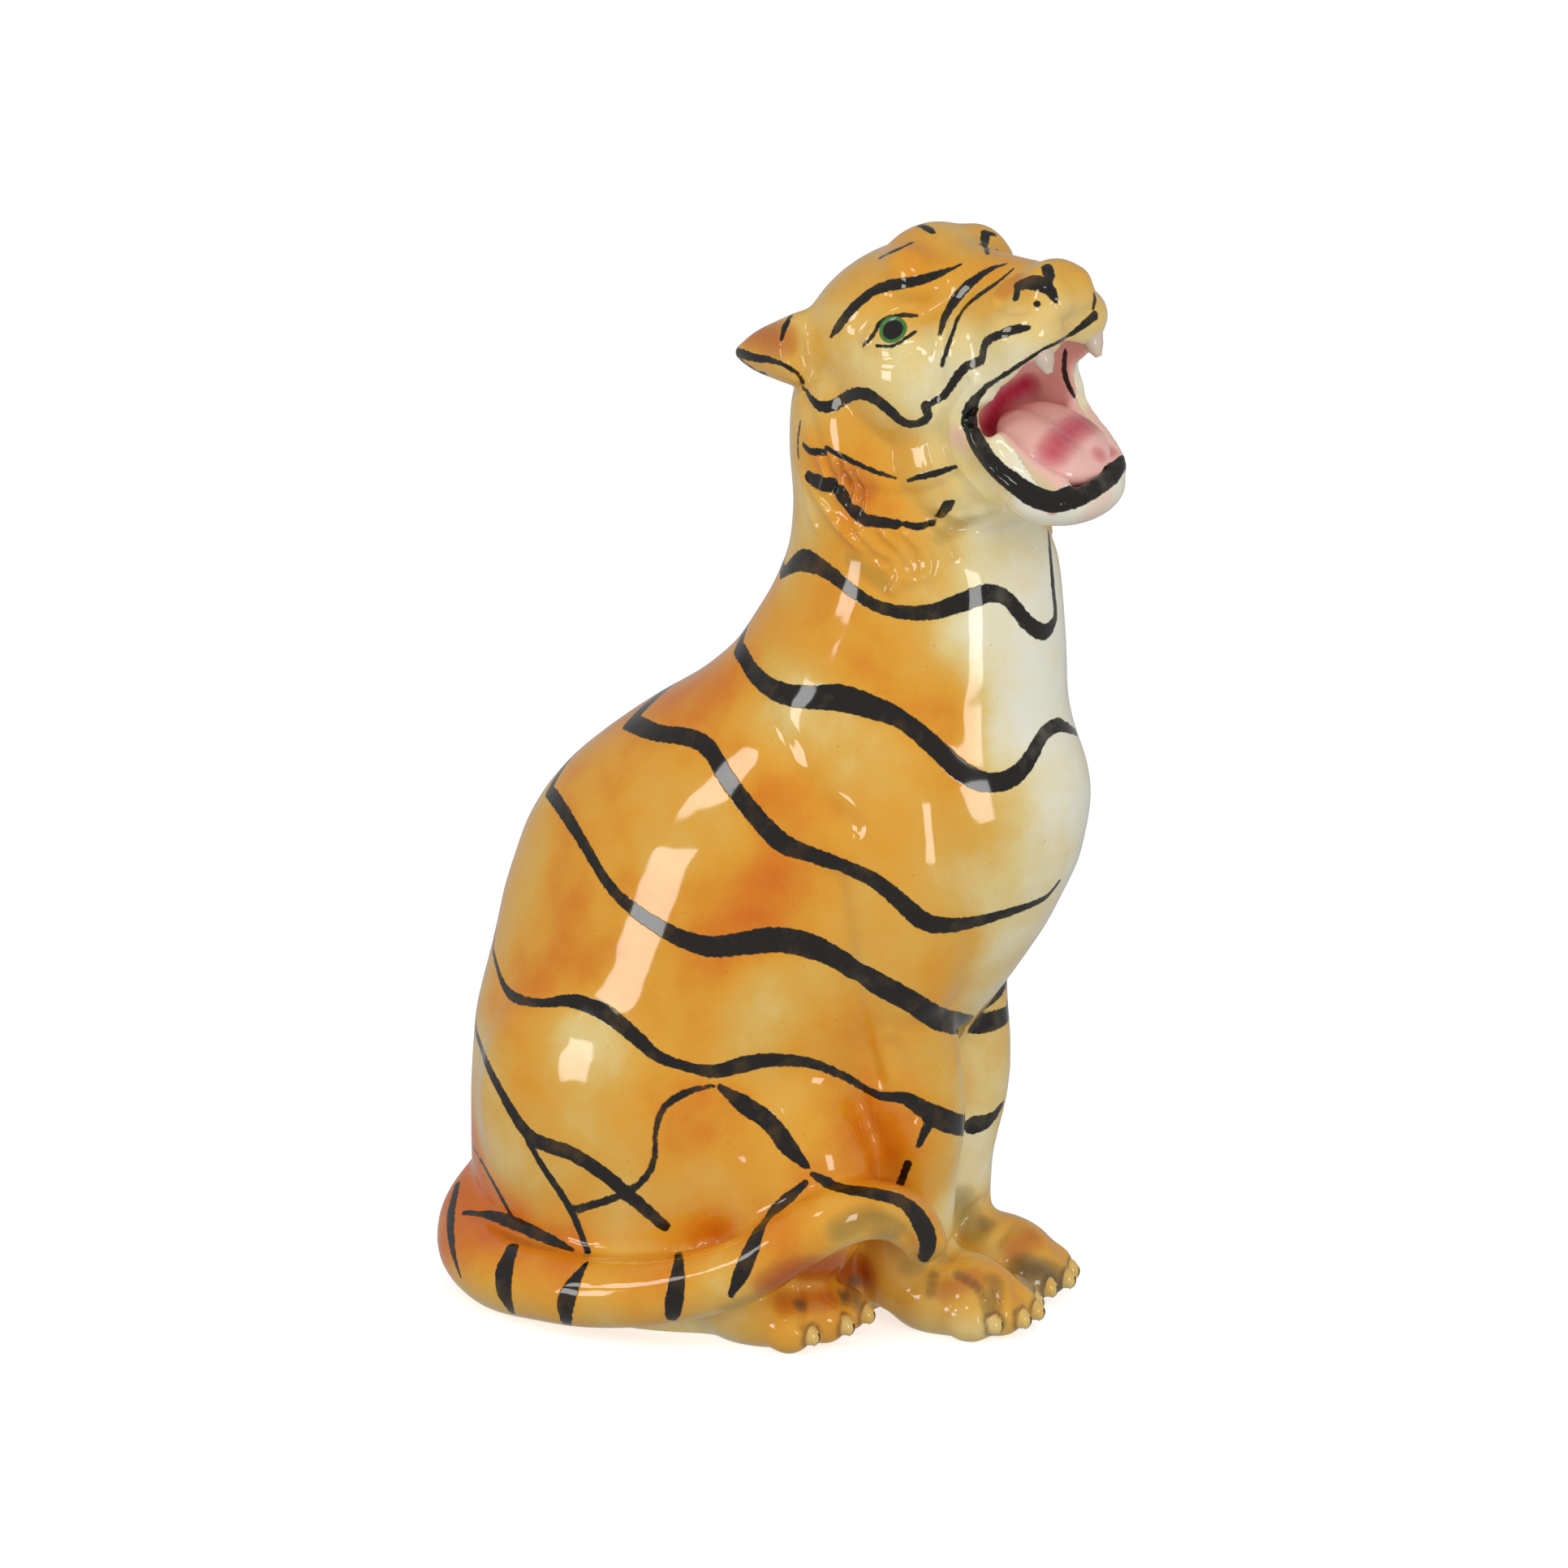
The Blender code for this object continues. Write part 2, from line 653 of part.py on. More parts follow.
def finish(piece, glaze, parts):
    without_crumbs(piece)
    piece.data.materials.clear()
    piece.data.materials.append(material(glaze))
    piece.data.shade_smooth()
    piece.data.set_sharp_from_angle(angle=math.radians(50))
    for holder in list(piece.users_collection):
        holder.objects.unlink(piece)
    parts.objects.link(piece)


def claws(word, toes, radii, side_name, parts):
    """Small pressed claws on the fronts of the toes."""
    side = SIDES[side_name]
    made = []
    for number, toe in enumerate(toes, 1):
        outward, along, height = toe
        centre = (side * outward, along - radii[1] * CLAW_REACH, height - CLAW_DROP)
        claw = ellipsoid(f"{word}_claw_{side_name}_{number}", centre, CLAW_RADII, segments=8)
        finish(claw, "glaze_umber", parts)
        made.append(claw)
    return made


def fang(side_name, parts):
    across = -SIDES[side_name]
    forward, right, up = FANG_ROOT
    root = in_head(forward, right * across, up)
    tip = in_head(forward + FANG_RAKE, right * across, up - FANG_LENGTH)
    middle = root.lerp(tip, 0.5)
    path = ((root, FANG_RADIUS), (middle, FANG_RADIUS * FANG_MID_TAPER), (tip, FANG_TIP_RADIUS))
    tooth = tube(f"upper_fang_{side_name}", path, sides=12, steps=2)
    tooth.data.transform(head_matrix())
    finish(tooth, "glaze_tooth", parts)
    return tooth


def tongue(parts):
    slab = ellipsoid("tongue", in_head(*TONGUE_CENTRE), TONGUE_RADII, pitched(-TONGUE_SLOPE), segments=16)
    slab.data.transform(head_matrix())
    finish(slab, "glaze_pink", parts)
    return slab


def centre_on_foot(parts):
    """Put the origin in the middle of the figure's plan, on the foot."""
    corners = [vert.co for piece in parts.objects for vert in piece.data.vertices]
    shift = Vector((0, 0, 0))
    for axis in (0, 1):
        values = [corner[axis] for corner in corners]
        shift[axis] = -(min(values) + max(values)) / 2
    for piece in parts.objects:
        piece.data.transform(Matrix.Translation(shift))


def build():
    clear_scene()
    parts = make_collection("roaring_tiger_figure")
    figure = levelled(thinned(whole_figure(), OUTER_FACES))
    figure.name = "torso_shell"
    boolean(figure, inner_core(), "DIFFERENCE", keep=False)

    tail_form = tube("tail form", TAIL_PATH, sides=12, steps=2, extra=TAIL_SEAM)
    take("tail", figure, tail_form, "glaze_orange", parts)

    leg_form = box("leg form", (-LEG_SEAM_WIDTH, -BEYOND, -BEYOND),
                   (LEG_SEAM_WIDTH, LEG_SEAM_Y, LEG_SEAM_HEIGHT))
    both_legs = take("forelegs", figure, leg_form, "glaze_orange", parts)
    for side_name, side in SIDES.items():
        corners = sorted((side * JOINT_GAP / 2, side * BEYOND))
        half = box("half", (corners[0], -BEYOND, -BEYOND), (corners[1], BEYOND, BEYOND))
        leg = copy_of(both_legs, f"foreleg_{side_name}")
        boolean(leg, half, "INTERSECT", keep=False)
        finish(leg, "glaze_orange", parts)
        sink(leg, claws("forepaw", FORETOES, FORETOE_RADII, side_name, parts))
    bpy.data.objects.remove(both_legs)

    for side_name, side in SIDES.items():
        corners = sorted((side * HINDPAW_SEAM_LOW[0], side * HINDPAW_SEAM_HIGH[0]))
        form = box("hind form", (corners[0], HINDPAW_SEAM_LOW[1], -BEYOND),
                   (corners[1], HINDPAW_SEAM_HIGH[1], HINDPAW_SEAM_HIGH[2]))
        paw = take(f"hindpaw_{side_name}", figure, form, "glaze_orange", parts)
        sink(paw, claws("hindpaw", HINDTOES, HINDTOE_RADII, side_name, parts))

    head = take("head_shell", figure, neck_form(), "glaze_orange", parts)
    jaw_form = prism("jaw form", JAW_SEAM_OUTLINE, GAPE_HALF_WIDTH)
    jaw_form.data.transform(head_matrix())
    jaw = take("lower_jaw", head, jaw_form, "glaze_ivory", parts)
    for side_name, side in SIDES.items():
        root, tip = ear_line(side)
        form = ellipsoid("ear form", root.lerp(tip, EAR_SEAM_PLACE), EAR_SEAM_RADII, segments=16)
        form.data.transform(head_matrix())
        take(f"ear_{side_name}", head, form, "glaze_orange", parts)
    sink(head, [fang(side_name, parts) for side_name in SIDES])
    soft = tongue(parts)
    sink(jaw, [soft])
    sink(head, [soft])
    finish(head, "glaze_orange", parts)
    finish(figure, "glaze_orange", parts)
    centre_on_foot(parts)


if __name__ == "__main__":
    build()
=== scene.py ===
# Looks of the seated roaring tiger: the hand-painted, glazed skin of the slip-cast figure.
# The sculpt repeats the forms of the casting at a finer grain, takes its creases, locks of fur
# and painted strokes from their places in the photograph, and is parted along the slip joints.

import math

import bmesh
import bpy
import numpy as np
from mathutils import Matrix, Vector
from mathutils.bvhtree import BVHTree
from mathutils.kdtree import KDTree


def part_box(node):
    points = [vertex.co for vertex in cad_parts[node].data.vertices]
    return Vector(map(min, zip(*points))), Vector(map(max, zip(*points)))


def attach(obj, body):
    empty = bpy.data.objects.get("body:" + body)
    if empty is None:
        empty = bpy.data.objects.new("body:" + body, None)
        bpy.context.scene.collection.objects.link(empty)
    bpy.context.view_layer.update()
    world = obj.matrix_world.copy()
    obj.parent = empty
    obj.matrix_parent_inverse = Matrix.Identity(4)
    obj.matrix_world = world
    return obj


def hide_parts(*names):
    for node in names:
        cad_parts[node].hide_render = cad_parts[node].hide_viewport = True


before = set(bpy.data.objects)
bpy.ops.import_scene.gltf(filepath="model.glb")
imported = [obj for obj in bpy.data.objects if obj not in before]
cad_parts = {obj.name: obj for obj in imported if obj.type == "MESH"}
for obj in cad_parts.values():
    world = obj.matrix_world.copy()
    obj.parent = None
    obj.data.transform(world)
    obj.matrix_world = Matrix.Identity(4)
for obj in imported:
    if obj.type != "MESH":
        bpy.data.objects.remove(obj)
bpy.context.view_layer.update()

MM = 0.001


def in_mm(sizes):
    """Sizes typed in millimetres, however they are nested, as metres."""
    if isinstance(sizes, tuple):
        return tuple(in_mm(size) for size in sizes)
    return sizes * MM


# Sculpting grain: coarse body, blended figure, lips and the finished skin, each with the
# rounds of softening it gets
BODY_GRAIN = 4.0 * MM
FORM_GRAIN = 2.2 * MM
LIP_GRAIN = 1.6 * MM
SKIN_GRAIN = 1.5 * MM
BODY_SOFTENING = 14
HEAD_SOFTENING = 10
FORM_SOFTENING = 4
LIP_SOFTENING = 4
SKIN_SOFTENING = 5
SOFTENING_SHARE = 0.5
FOOT_ALLOWANCE = 6 * MM
SIDES = {"right": -1, "left": 1}
BEYOND = 300 * MM
WELD = 0.001 * MM
TINY = 1e-9
LEAST = 1e-6

# Trunk sections from the foot to the nape: height, half width, back and front edge along Y
TRUNK_SECTIONS = in_mm((
    (0, 72, 99, -72), (12, 77, 104, -76), (45, 80, 108, -80), (80, 80, 108, -86),
    (110, 79, 106, -98), (141, 76, 98, -120), (161, 74, 94, -133), (188, 71, 85, -146),
    (202, 69, 77, -149), (215, 66, 66, -151), (228, 63, 51, -149), (242, 59, 32, -143),
    (255, 55, 11, -140), (269, 52, -5, -140), (295, 48, -21, -138), (312, 46, -28, -136),
    (332, 45, -30, -126), (352, 44, -28, -110), (374, 42, -29, -100), (392, 35, -36, -92),
))
SECTION_POINTS = 32

# Haunches, knees and shoulders in millimetres: centre (outward, Y, Z) and radii
BODY_PAIRS = (
    ("haunch", (46, 12, 82), (38, 78, 76)),
    ("knee", (58, -46, 64), (26, 37, 46)),
    ("shoulder", (42, -82, 190), (26, 36, 72)),
)

# Forelegs: path (outward, Y, Z) and radius
LEG_PATH = in_mm((
    ((36, -82, 152), 24), ((32, -82, 126), 24.5), ((28, -87, 90), 22.5), ((23, -84, 55), 20),
    ((23, -84, 25), 19.5), ((23, -86, 8), 17),
))

# Forepaws: centre (outward, Y, Z), radii, and the toes with their outward places
FOREPAW_CENTRE = in_mm((24, -103, 13))
FOREPAW_RADII = in_mm((21, 29, 18))
FORETOE_RADII = in_mm((8, 12, 10))
FORETOES = in_mm(((9, -123, 9), (20, -127, 9.5), (31, -125, 9.5), (40, -116, 9)))

# Half width of the block that holds both forelegs, just inside the outermost toe's edge
LEG_SEAM_INSET = 2 * MM
LEG_SEAM_WIDTH = FORETOES[-1][0] + FORETOE_RADII[0] - LEG_SEAM_INSET

# Hind paws, set outside the foreleg block and under the tail
HINDPAW_CENTRE = (LEG_SEAM_WIDTH + 16 * MM, -38 * MM, 13 * MM)
HINDPAW_RADII = in_mm((22, 32, 17))
HINDTOE_RADII = in_mm((8.5, 11, 10))
HINDTOES = (
    (LEG_SEAM_WIDTH + 31 * MM, -53 * MM, 9 * MM),
    (LEG_SEAM_WIDTH + 18 * MM, -63 * MM, 10 * MM),
    (LEG_SEAM_WIDTH + 5 * MM, -67 * MM, 11 * MM),
)
PAWS = (
    ("forepaw", (FOREPAW_CENTRE, FOREPAW_RADII), FORETOES, FORETOE_RADII),
    ("hindpaw", (HINDPAW_CENTRE, HINDPAW_RADII), HINDTOES, HINDTOE_RADII),
)

# Tail: path (X, Y, Z) from the rump round the right haunch, and radius
TAIL_PATH = in_mm((
    ((26, 84, 46), 12), ((0, 93, 36), 15.5), ((-30, 97, 22), 17), ((-64, 78, 16), 16),
    ((-81, 48, 17), 15), ((-88, 16, 20), 14.5), ((-90, -14, 27), 14), ((-89, -40, 37), 13.5),
    ((-86, -60, 51), 13), ((-79, -76, 60), 12.5), ((-67, -89, 60), 12), ((-56, -98, 51), 11),
    ((-50, -103, 38), 8.5),
))
TAIL_SEAM = 1.2 * MM
TAIL_SIDES = 28
TAIL_STEPS = 8

# Head: pivot on the body, turn to the tiger's right and lean to the same side
HEAD_PIVOT = in_mm((0, -73, 405))
HEAD_TURN = math.radians(26)
HEAD_LEAN = math.radians(5)

# Forms on the middle line of the head in millimetres: centre (forward, right, up),
# radii (across, along, high) and the pitch in degrees that tips the front up
HEAD_FORMS = (
    ("skull", (0, 0, -3), (42, 44, 30), 35),
    ("forehead", (18, 0, 13), (29, 22, 27), 0),
    ("nape", (-6, 0, -26), (40, 35, 34), 0),
    ("nose", (82.5, 0, 26.5), (14.5, 9, 9.5), 0),
    ("throat", (30, 0, -50), (37, 38, 34), 0),
    ("chin", (83, 0, -55), (27, 22, 14), -6),
    ("muzzle", (62, 0, 8), (25, 30, 18), 17),
)

# Forms on both sides of the head, laid out in the same way
HEAD_PAIRS = (
    ("brow", (26, 18, 24), (11, 15, 12), -29),
    ("malar", (46, 18, -4), (15, 24, 18), 29),
    ("cheek", (19, 26, -15), (18, 32, 28), 0),
    ("eyeball", (21, 24, 5), (10, 12, 11), 0),
    ("mouth corner", (56, 23, -27), (7.5, 18, 18), 0),
    ("whisker pad", (74, 12, 7), (15.5, 22.5, 14.5), 20),
)

# Bars of the head, the thick lip of each side, the filling between nose and lip, the rolled
# lip of the lower jaw and its gum ridge: place (forward, right, up) and radius
HEAD_BARS = {
    "bridge": in_mm((((22, 0, 15), 21), ((52, 0, 16), 17.5), ((75, 0, 19), 14.5))),
    "jaw": in_mm((((36, 0, -44), 30), ((62, 0, -47), 26), ((80, 0, -50), 21))),
}
LIP_PATH = in_mm((((48, 21, -18), 9), ((62, 19, -9), 10), ((82, 15, 3), 10)))
NOSE_FILL = in_mm((((85, 5, 29), 9.5), ((89, 6, 16), 9)))
LOWER_LIP = in_mm((
    ((63, 28, -27), 3.0), ((66, 27.5, -35), 3.6), ((73, 26, -43), 4.0), ((86, 23, -51), 4.2),
    ((96, 17, -55), 4.0), ((99, 0, -53), 3.8), ((97, -16, -50), 3.4), ((90, -22, -46), 3.0),
    ((79, -26, -39), 2.4), ((68, -26, -28), 2.0),
))
GUM_RIDGE = in_mm((
    ((68, 20, -31), 3.0), ((76, 19, -38), 4.4), ((87, 16, -46), 4.4), ((95, 10, -50), 3.6),
))

# Neck seam of the separately cast head
NECK_SEAM_HEIGHT = 300 * MM
NECK_SEAM_SLOPE = math.radians(8)

# Open mouth in the head's side view: forward of the pivot and above it
GAPE_OUTLINE = in_mm(((59, -25), (84, -4), (125, 22), (125, -60), (99, -55), (70, -43), (61, -33)))
GAPE_HINGE = 25 * MM
GAPE_TURN = math.radians(14)
GAPE_HALF_WIDTH = 60 * MM
GAPE_FORM_BEVEL = 2 * MM
MOUTH_OUTLINE = in_mm(((44, -26), (60, -6), (84, 8), (92, -10), (96, -58), (66, -53), (48, -40)))
MOUTH_HALF_WIDTH = 20 * MM
MOUTH_FORM_BEVEL = 5 * MM
BEVEL_STEPS = 3

# Ears in the head, and claws on the toes
EAR_ROOT = in_mm((-17, 36, -8))
EAR_TIP = in_mm((-52, 45, -13))
EAR_RADIUS = 16.5 * MM
EAR_TAPER_PLACE = 0.55
EAR_TAPER = 0.62
EAR_TIP_RADIUS = 2 * MM
EAR_HOLLOW = in_mm((-33, 54, -20))
EAR_HOLLOW_RADII = in_mm((8, 13, 8))
CLAW_RADII = in_mm((3.4, 4.6, 4.2))
CLAW_REACH = 0.82
CLAW_DROP = 1 * MM

# Chamber and pouring hole of the torso, and the seams of the separately cast parts
CHAMBER_CENTRE = in_mm((0, 18, 60))
CHAMBER_RADII = in_mm((54, 66, 53))
POUR_HOLE_RADIUS = 19 * MM
POUR_HOLE_Y = 20 * MM
POUR_HOLE_SIDES = 48
LEG_SEAM_HEIGHT = 134 * MM
LEG_SEAM_Y = -60 * MM
HINDPAW_SEAM_LOW = (LEG_SEAM_WIDTH - 8 * MM, -90 * MM)
HINDPAW_SEAM_HIGH = (LEG_SEAM_WIDTH + 46 * MM, -24 * MM, 27 * MM)
EAR_SEAM_PLACE = 0.68
EAR_SEAM_RADII = in_mm((18, 20, 21))
EAR_SEAM_SEGMENTS = 48
JAW_SEAM_OUTLINE = in_mm(((60, -29), (140, -29), (140, -92), (68, -78), (50, -62)))

# Photograph: its side in pixels, metres to a pixel at the figure, the pixel of the
# figure's own origin, the viewing angle, the lens, and the depth of the focused plane
PHOTO_SIDE = 1932
PIXEL = 0.324 * MM
ORIGIN_PIXEL = (898, 1582)
AZIMUTH = math.radians(-70)
ELEVATION = math.radians(16)
LENS = 180
SENSOR = 36
FOCUS_DEPTH = 60 * MM

# Brush strokes in the photograph: knots as pixel across, pixel down, and width in pixels
STROKES = {
    "neck": ((964, 706, 16), (989, 690, 28), (1020, 704, 20), (1050, 728, 16), (1081, 747, 15),
        (1117, 755, 17), (1152, 753, 20), (1188, 741, 24), (1219, 731, 23), (1242, 739, 18),
        (1264, 765, 20), (1286, 779, 21), (1300, 762, 12), (1297, 717, 10), (1292, 655, 7)),
    "shoulder": ((910, 798, 20), (933, 834, 22), (963, 854, 26), (999, 859, 29), (1035, 860, 33),
        (1076, 872, 29), (1111, 887, 23), (1147, 916, 24), (1183, 949, 25), (1216, 964, 25),
        (1249, 957, 23), (1270, 933, 20), (1287, 903, 18), (1305, 893, 18), (1326, 903, 10)),
    "ribs": ((777, 890, 26), (810, 903, 23), (846, 908, 23), (872, 921, 22), (897, 961, 22),
        (928, 1002, 23), (963, 1038, 25), (994, 1051, 20), (1035, 1066, 19), (1076, 1084, 19),
        (1111, 1112, 22), (1142, 1137, 23), (1183, 1139, 18), (1234, 1127, 14), (1285, 1108, 10),
        (1305, 1086, 7)),
    "flank": ((677, 974, 18), (698, 1005, 18), (724, 1048, 15), (749, 1089, 15), (780, 1120, 17),
        (826, 1150, 21), (872, 1166, 26), (918, 1162, 29), (958, 1158, 32), (999, 1166, 32),
        (1035, 1183, 26), (1076, 1209, 33), (1122, 1234, 30), (1162, 1257, 29), (1208, 1261, 27),
        (1239, 1251, 22), (1249, 1237, 12)),
    "loin": ((605, 1160, 7), (617, 1206, 9), (634, 1229, 13), (668, 1236, 11), (703, 1233, 17),
        (744, 1247, 21), (780, 1275, 20), (810, 1301, 15), (846, 1314, 13), (882, 1320, 17),
        (918, 1311, 21), (953, 1306, 18), (999, 1310, 14), (1040, 1326, 10), (1081, 1349, 11),
        (1117, 1354, 17), (1152, 1375, 27), (1188, 1387, 26), (1219, 1380, 20), (1236, 1359, 8)),
    "rump": ((587, 1273, 10), (601, 1313, 13), (622, 1354, 15), (642, 1387, 18), (662, 1406, 20),
        (703, 1421, 20), (744, 1447, 20), (780, 1477, 20), (818, 1510, 16)),
    "rump_branch": ((650, 1406, 9), (673, 1444, 11), (703, 1490, 12), (725, 1544, 8)),
    "haunch_loop": ((879, 1337, 5), (846, 1346, 9), (818, 1365, 9), (808, 1393, 7),
        (806, 1429, 8), (790, 1457, 9), (759, 1475, 10), (711, 1490, 11)),
    "haunch": ((887, 1339, 8), (915, 1360, 22), (948, 1383, 22), (971, 1413, 22), (993, 1436, 10)),
    "tail_left": ((993, 1457, 8), (966, 1482, 18), (938, 1510, 20), (925, 1541, 22),
        (912, 1572, 19), (900, 1597, 8)),
    "tail_right": ((1002, 1447, 8), (1030, 1462, 18), (1076, 1470, 18), (1111, 1480, 19),
        (1134, 1503, 26), (1145, 1531, 24), (1138, 1550, 16)),
    "leg_upper": ((1145, 1383, 13), (1132, 1412, 8)),
    "leg_lower": ((1119, 1433, 10), (1109, 1459, 10)),
    "root_a": ((583, 1413, 4), (606, 1454, 8), (634, 1505, 8)),
    "root_b": ((573, 1494, 10), (606, 1498, 14), (642, 1510, 18), (678, 1528, 15), (706, 1541, 7)),
    "tail_band_a": ((632, 1536, 16), (621, 1567, 28), (622, 1597, 24), (631, 1617, 10)),
    "tail_band_b": ((723, 1556, 6), (706, 1582, 20), (696, 1610, 24), (699, 1632, 12)),
    "tail_band_c": ((837, 1533, 6), (835, 1572, 20), (830, 1607, 23), (827, 1632, 12)),
    "tail_edge": ((563, 1459, 10), (555, 1500, 14), (558, 1541, 11), (568, 1574, 5)),
    "brow": ((1184, 326, 4), (1150, 340, 11), (1122, 348, 13), (1093, 352, 14), (1072, 361, 15),
        (1051, 379, 15), (1033, 402, 13), (1023, 416, 4)),
    "muzzle_a": ((1240, 325, 3), (1222, 331, 9), (1199, 346, 12), (1180, 366, 14), (1165, 389, 12),
        (1158, 412, 5)),
    "muzzle_b": ((1249, 331, 3), (1229, 348, 6), (1209, 362, 7), (1186, 382, 8), (1173, 412, 6),
        (1165, 435, 8), (1161, 451, 5)),
    "crown": ((1134, 278, 9), (1143, 282, 11), (1149, 286, 9)),
    "forehead": ((1083, 318, 4), (1100, 310, 7), (1124, 299, 6)),
    "ear_root": ((977, 387, 5), (968, 400, 9), (963, 418, 5)),
    "ear_rim": ((903, 433, 12), (920, 438, 13), (934, 442, 11), (955, 445, 8), (984, 461, 5),
        (990, 478, 5)),
    "ear_edge": ((905, 444, 7), (925, 456, 7), (944, 469, 6)),
    "far_brow": ((1226, 289, 6), (1214, 287, 12), (1213, 297, 11), (1217, 313, 5)),
    "cheek": ((990, 478, 6), (998, 490, 9), (1009, 500, 13), (1026, 500, 15), (1048, 487, 15),
        (1069, 486, 17), (1094, 504, 16), (1112, 520, 14), (1130, 522, 11), (1144, 513, 10),
        (1141, 500, 13)),
    "whisker": ((1141, 500, 8), (1162, 488, 9), (1176, 469, 11), (1191, 451, 11),
        (1209, 444, 12), (1214, 422, 10), (1235, 411, 11), (1255, 405, 11), (1268, 404, 6)),
    "nostril": ((1252, 367, 10), (1254, 353, 12), (1265, 348, 17), (1282, 349, 20),
        (1295, 359, 14), (1301, 371, 7)),
    "nose": ((1290, 329, 14), (1293, 340, 14), (1291, 351, 10)),
    "nose_dot": ((1277, 374, 8), (1279, 375, 8)),
    "far_muzzle": ((1348, 362, 5), (1349, 371, 8), (1347, 379, 5)),
    "upper_lip": ((1348, 390, 13), (1333, 402, 10), (1312, 417, 7), (1288, 429, 6),
        (1262, 446, 6), (1236, 463, 6), (1216, 476, 7), (1205, 488, 9)),
    "lower_lip": ((1206, 487, 9), (1197, 501, 17), (1196, 520, 23), (1203, 547, 26),
        (1219, 572, 26), (1245, 593, 26), (1272, 611, 28), (1295, 619, 29)),
    "lip_front": ((1295, 619, 29), (1321, 612, 30), (1347, 598, 30), (1368, 583, 28),
        (1380, 573, 20), (1386, 566, 13)),
    "far_inner_lip": ((1313, 432, 6), (1311, 455, 9), (1316, 474, 8), (1324, 489, 4)),
    "jaw_line": ((990, 548, 7), (997, 556, 9), (1016, 557, 9)),
    "jaw_thin": ((1018, 552, 7), (1045, 566, 7), (1075, 580, 6), (1104, 589, 4)),
    "jaw_tick": ((1118, 592, 4), (1140, 586, 9), (1160, 581, 8), (1178, 575, 5)),
    "ruff_dark": ((997, 588, 16), (1012, 596, 20), (1030, 600, 18), (1040, 615, 16),
        (1055, 632, 18), (1066, 640, 17), (1080, 643, 14), (1105, 646, 12), (1113, 645, 6),
        (1128, 649, 10), (1148, 645, 8), (1158, 636, 10), (1168, 622, 14), (1175, 617, 5)),
    "upper_lid": ((1063, 427, 4), (1076, 413, 5), (1083, 399, 6), (1097, 391, 6), (1115, 388, 6),
        (1129, 389, 5)),
    "lower_lid": ((1080, 426, 4), (1100, 427, 4), (1112, 420, 5), (1127, 409, 5)),
    "nape": ((986, 520, 5), (983, 545, 5), (984, 565, 5)),
}

# Strokes that aren't repeated on the other side
RIGHT_ONLY = (
    "tail_left", "tail_right", "tail_band_a", "tail_band_b", "tail_band_c", "tail_edge",
    "root_a", "root_b", "far_brow", "far_muzzle", "far_inner_lip", "nose_dot", "nose",
)

# Strokes that run on over the back, with their rise to the spine
OVER_BACK = {
    "neck": 4 * MM, "shoulder": 8 * MM, "ribs": 10 * MM, "flank": 12 * MM, "loin": 14 * MM,
    "rump": 12 * MM,
}

# A stroke that starts above this pixel row lies on the head, and so does a spray, a tint or a
# crease that starts above the next
HEAD_STROKES_ABOVE = 650
HEAD_ABOVE = 735

# Airbrushed colour, judged: a depth, from bare ivory at 0 to full orange at 1, and the
# places in the photograph that are sprayed to it
AIRBRUSH = (
    (1.0, (
        (907, 1114), (963, 1110), (850, 1215), (668, 1556), (795, 1556), (887, 1531), (591, 1526),
        (566, 1475), (1076, 1439)
    )),
    (0.85, (
        (948, 409), (1143, 360), (1229, 359), (1070, 610), (1076, 681), (872, 829), (795, 860),
        (860, 880), (900, 895), (958, 956), (989, 987), (1145, 845), (1160, 885), (846, 1373),
        (897, 1398), (1050, 1303), (700, 1181), (657, 1196), (1040, 1408), (1100, 1405),
        (1025, 1475), (958, 1540), (1014, 1572)
    )),
    (0.7, (
        (1122, 310), (1090, 328), (1161, 310), (1199, 333), (1321, 336), (1334, 356), (1060, 545),
        (1050, 706), (1025, 757), (1101, 768), (923, 768), (1076, 819), (719, 926), (754, 946),
        (826, 941), (1050, 1035), (1140, 965), (1178, 997), (897, 1048), (754, 1060), (867, 1080),
        (744, 1176), (846, 1252), (652, 1278), (795, 1339), (1005, 1275), (1173, 1201),
        (1130, 1444), (657, 1600), (770, 1600), (1050, 1597), (969, 1597), (1203, 1577),
        (1254, 1577), (1270, 1526), (642, 1344)
    )),
    (0.55, (
        (1037, 345), (1265, 333), (1072, 381), (1216, 392), (1275, 389), (1110, 545), (1111, 691),
        (1142, 706), (657, 987), (617, 1100), (826, 997), (1101, 926), (1101, 1048), (1025, 1125),
        (1076, 1140), (1127, 1176), (642, 1150), (805, 1206), (1025, 1227), (1091, 1273),
        (1142, 1303), (744, 1393), (907, 1444), (856, 1470), (693, 1464), (999, 1383), (1173, 1587),
        (1213, 1526), (938, 1628), (1101, 1577)
    )),
    (0.4, (
        (1008, 367), (990, 399), (1037, 434), (951, 463), (983, 452), (1347, 382), (1160, 596),
        (999, 660), (989, 916), (1050, 926), (1200, 1074), (1229, 1023), (856, 1038), (907, 1278),
        (948, 1242), (744, 1329), (606, 1354), (617, 1408), (1198, 1303), (1178, 1419),
        (1050, 1516), (795, 1520), (759, 1628), (897, 1597), (591, 1607)
    )),
    (0.25, (
        (1193, 296), (1150, 399), (1090, 452), (1193, 415), (1308, 382), (1170, 557), (1178, 696),
        (958, 893), (1254, 1074), (1229, 1191), (713, 1288), (1203, 1470), (668, 1630), (872, 1628),
        (1178, 1638), (1280, 1600), (1239, 1319)
    )),
    (0.1, (
        (1143, 452), (1203, 458), (1282, 418), (1328, 395), (1170, 504), (1229, 681), (1232, 636),
        (1175, 800), (1280, 972), (1285, 1074), (1254, 1150), (1213, 1419)
    )),
    (0.0, (
        (1249, 432), (1270, 691), (1298, 645), (1364, 622), (1219, 773), (1264, 819), (1240, 890),
        (1321, 997), (1300, 900)
    )),
)
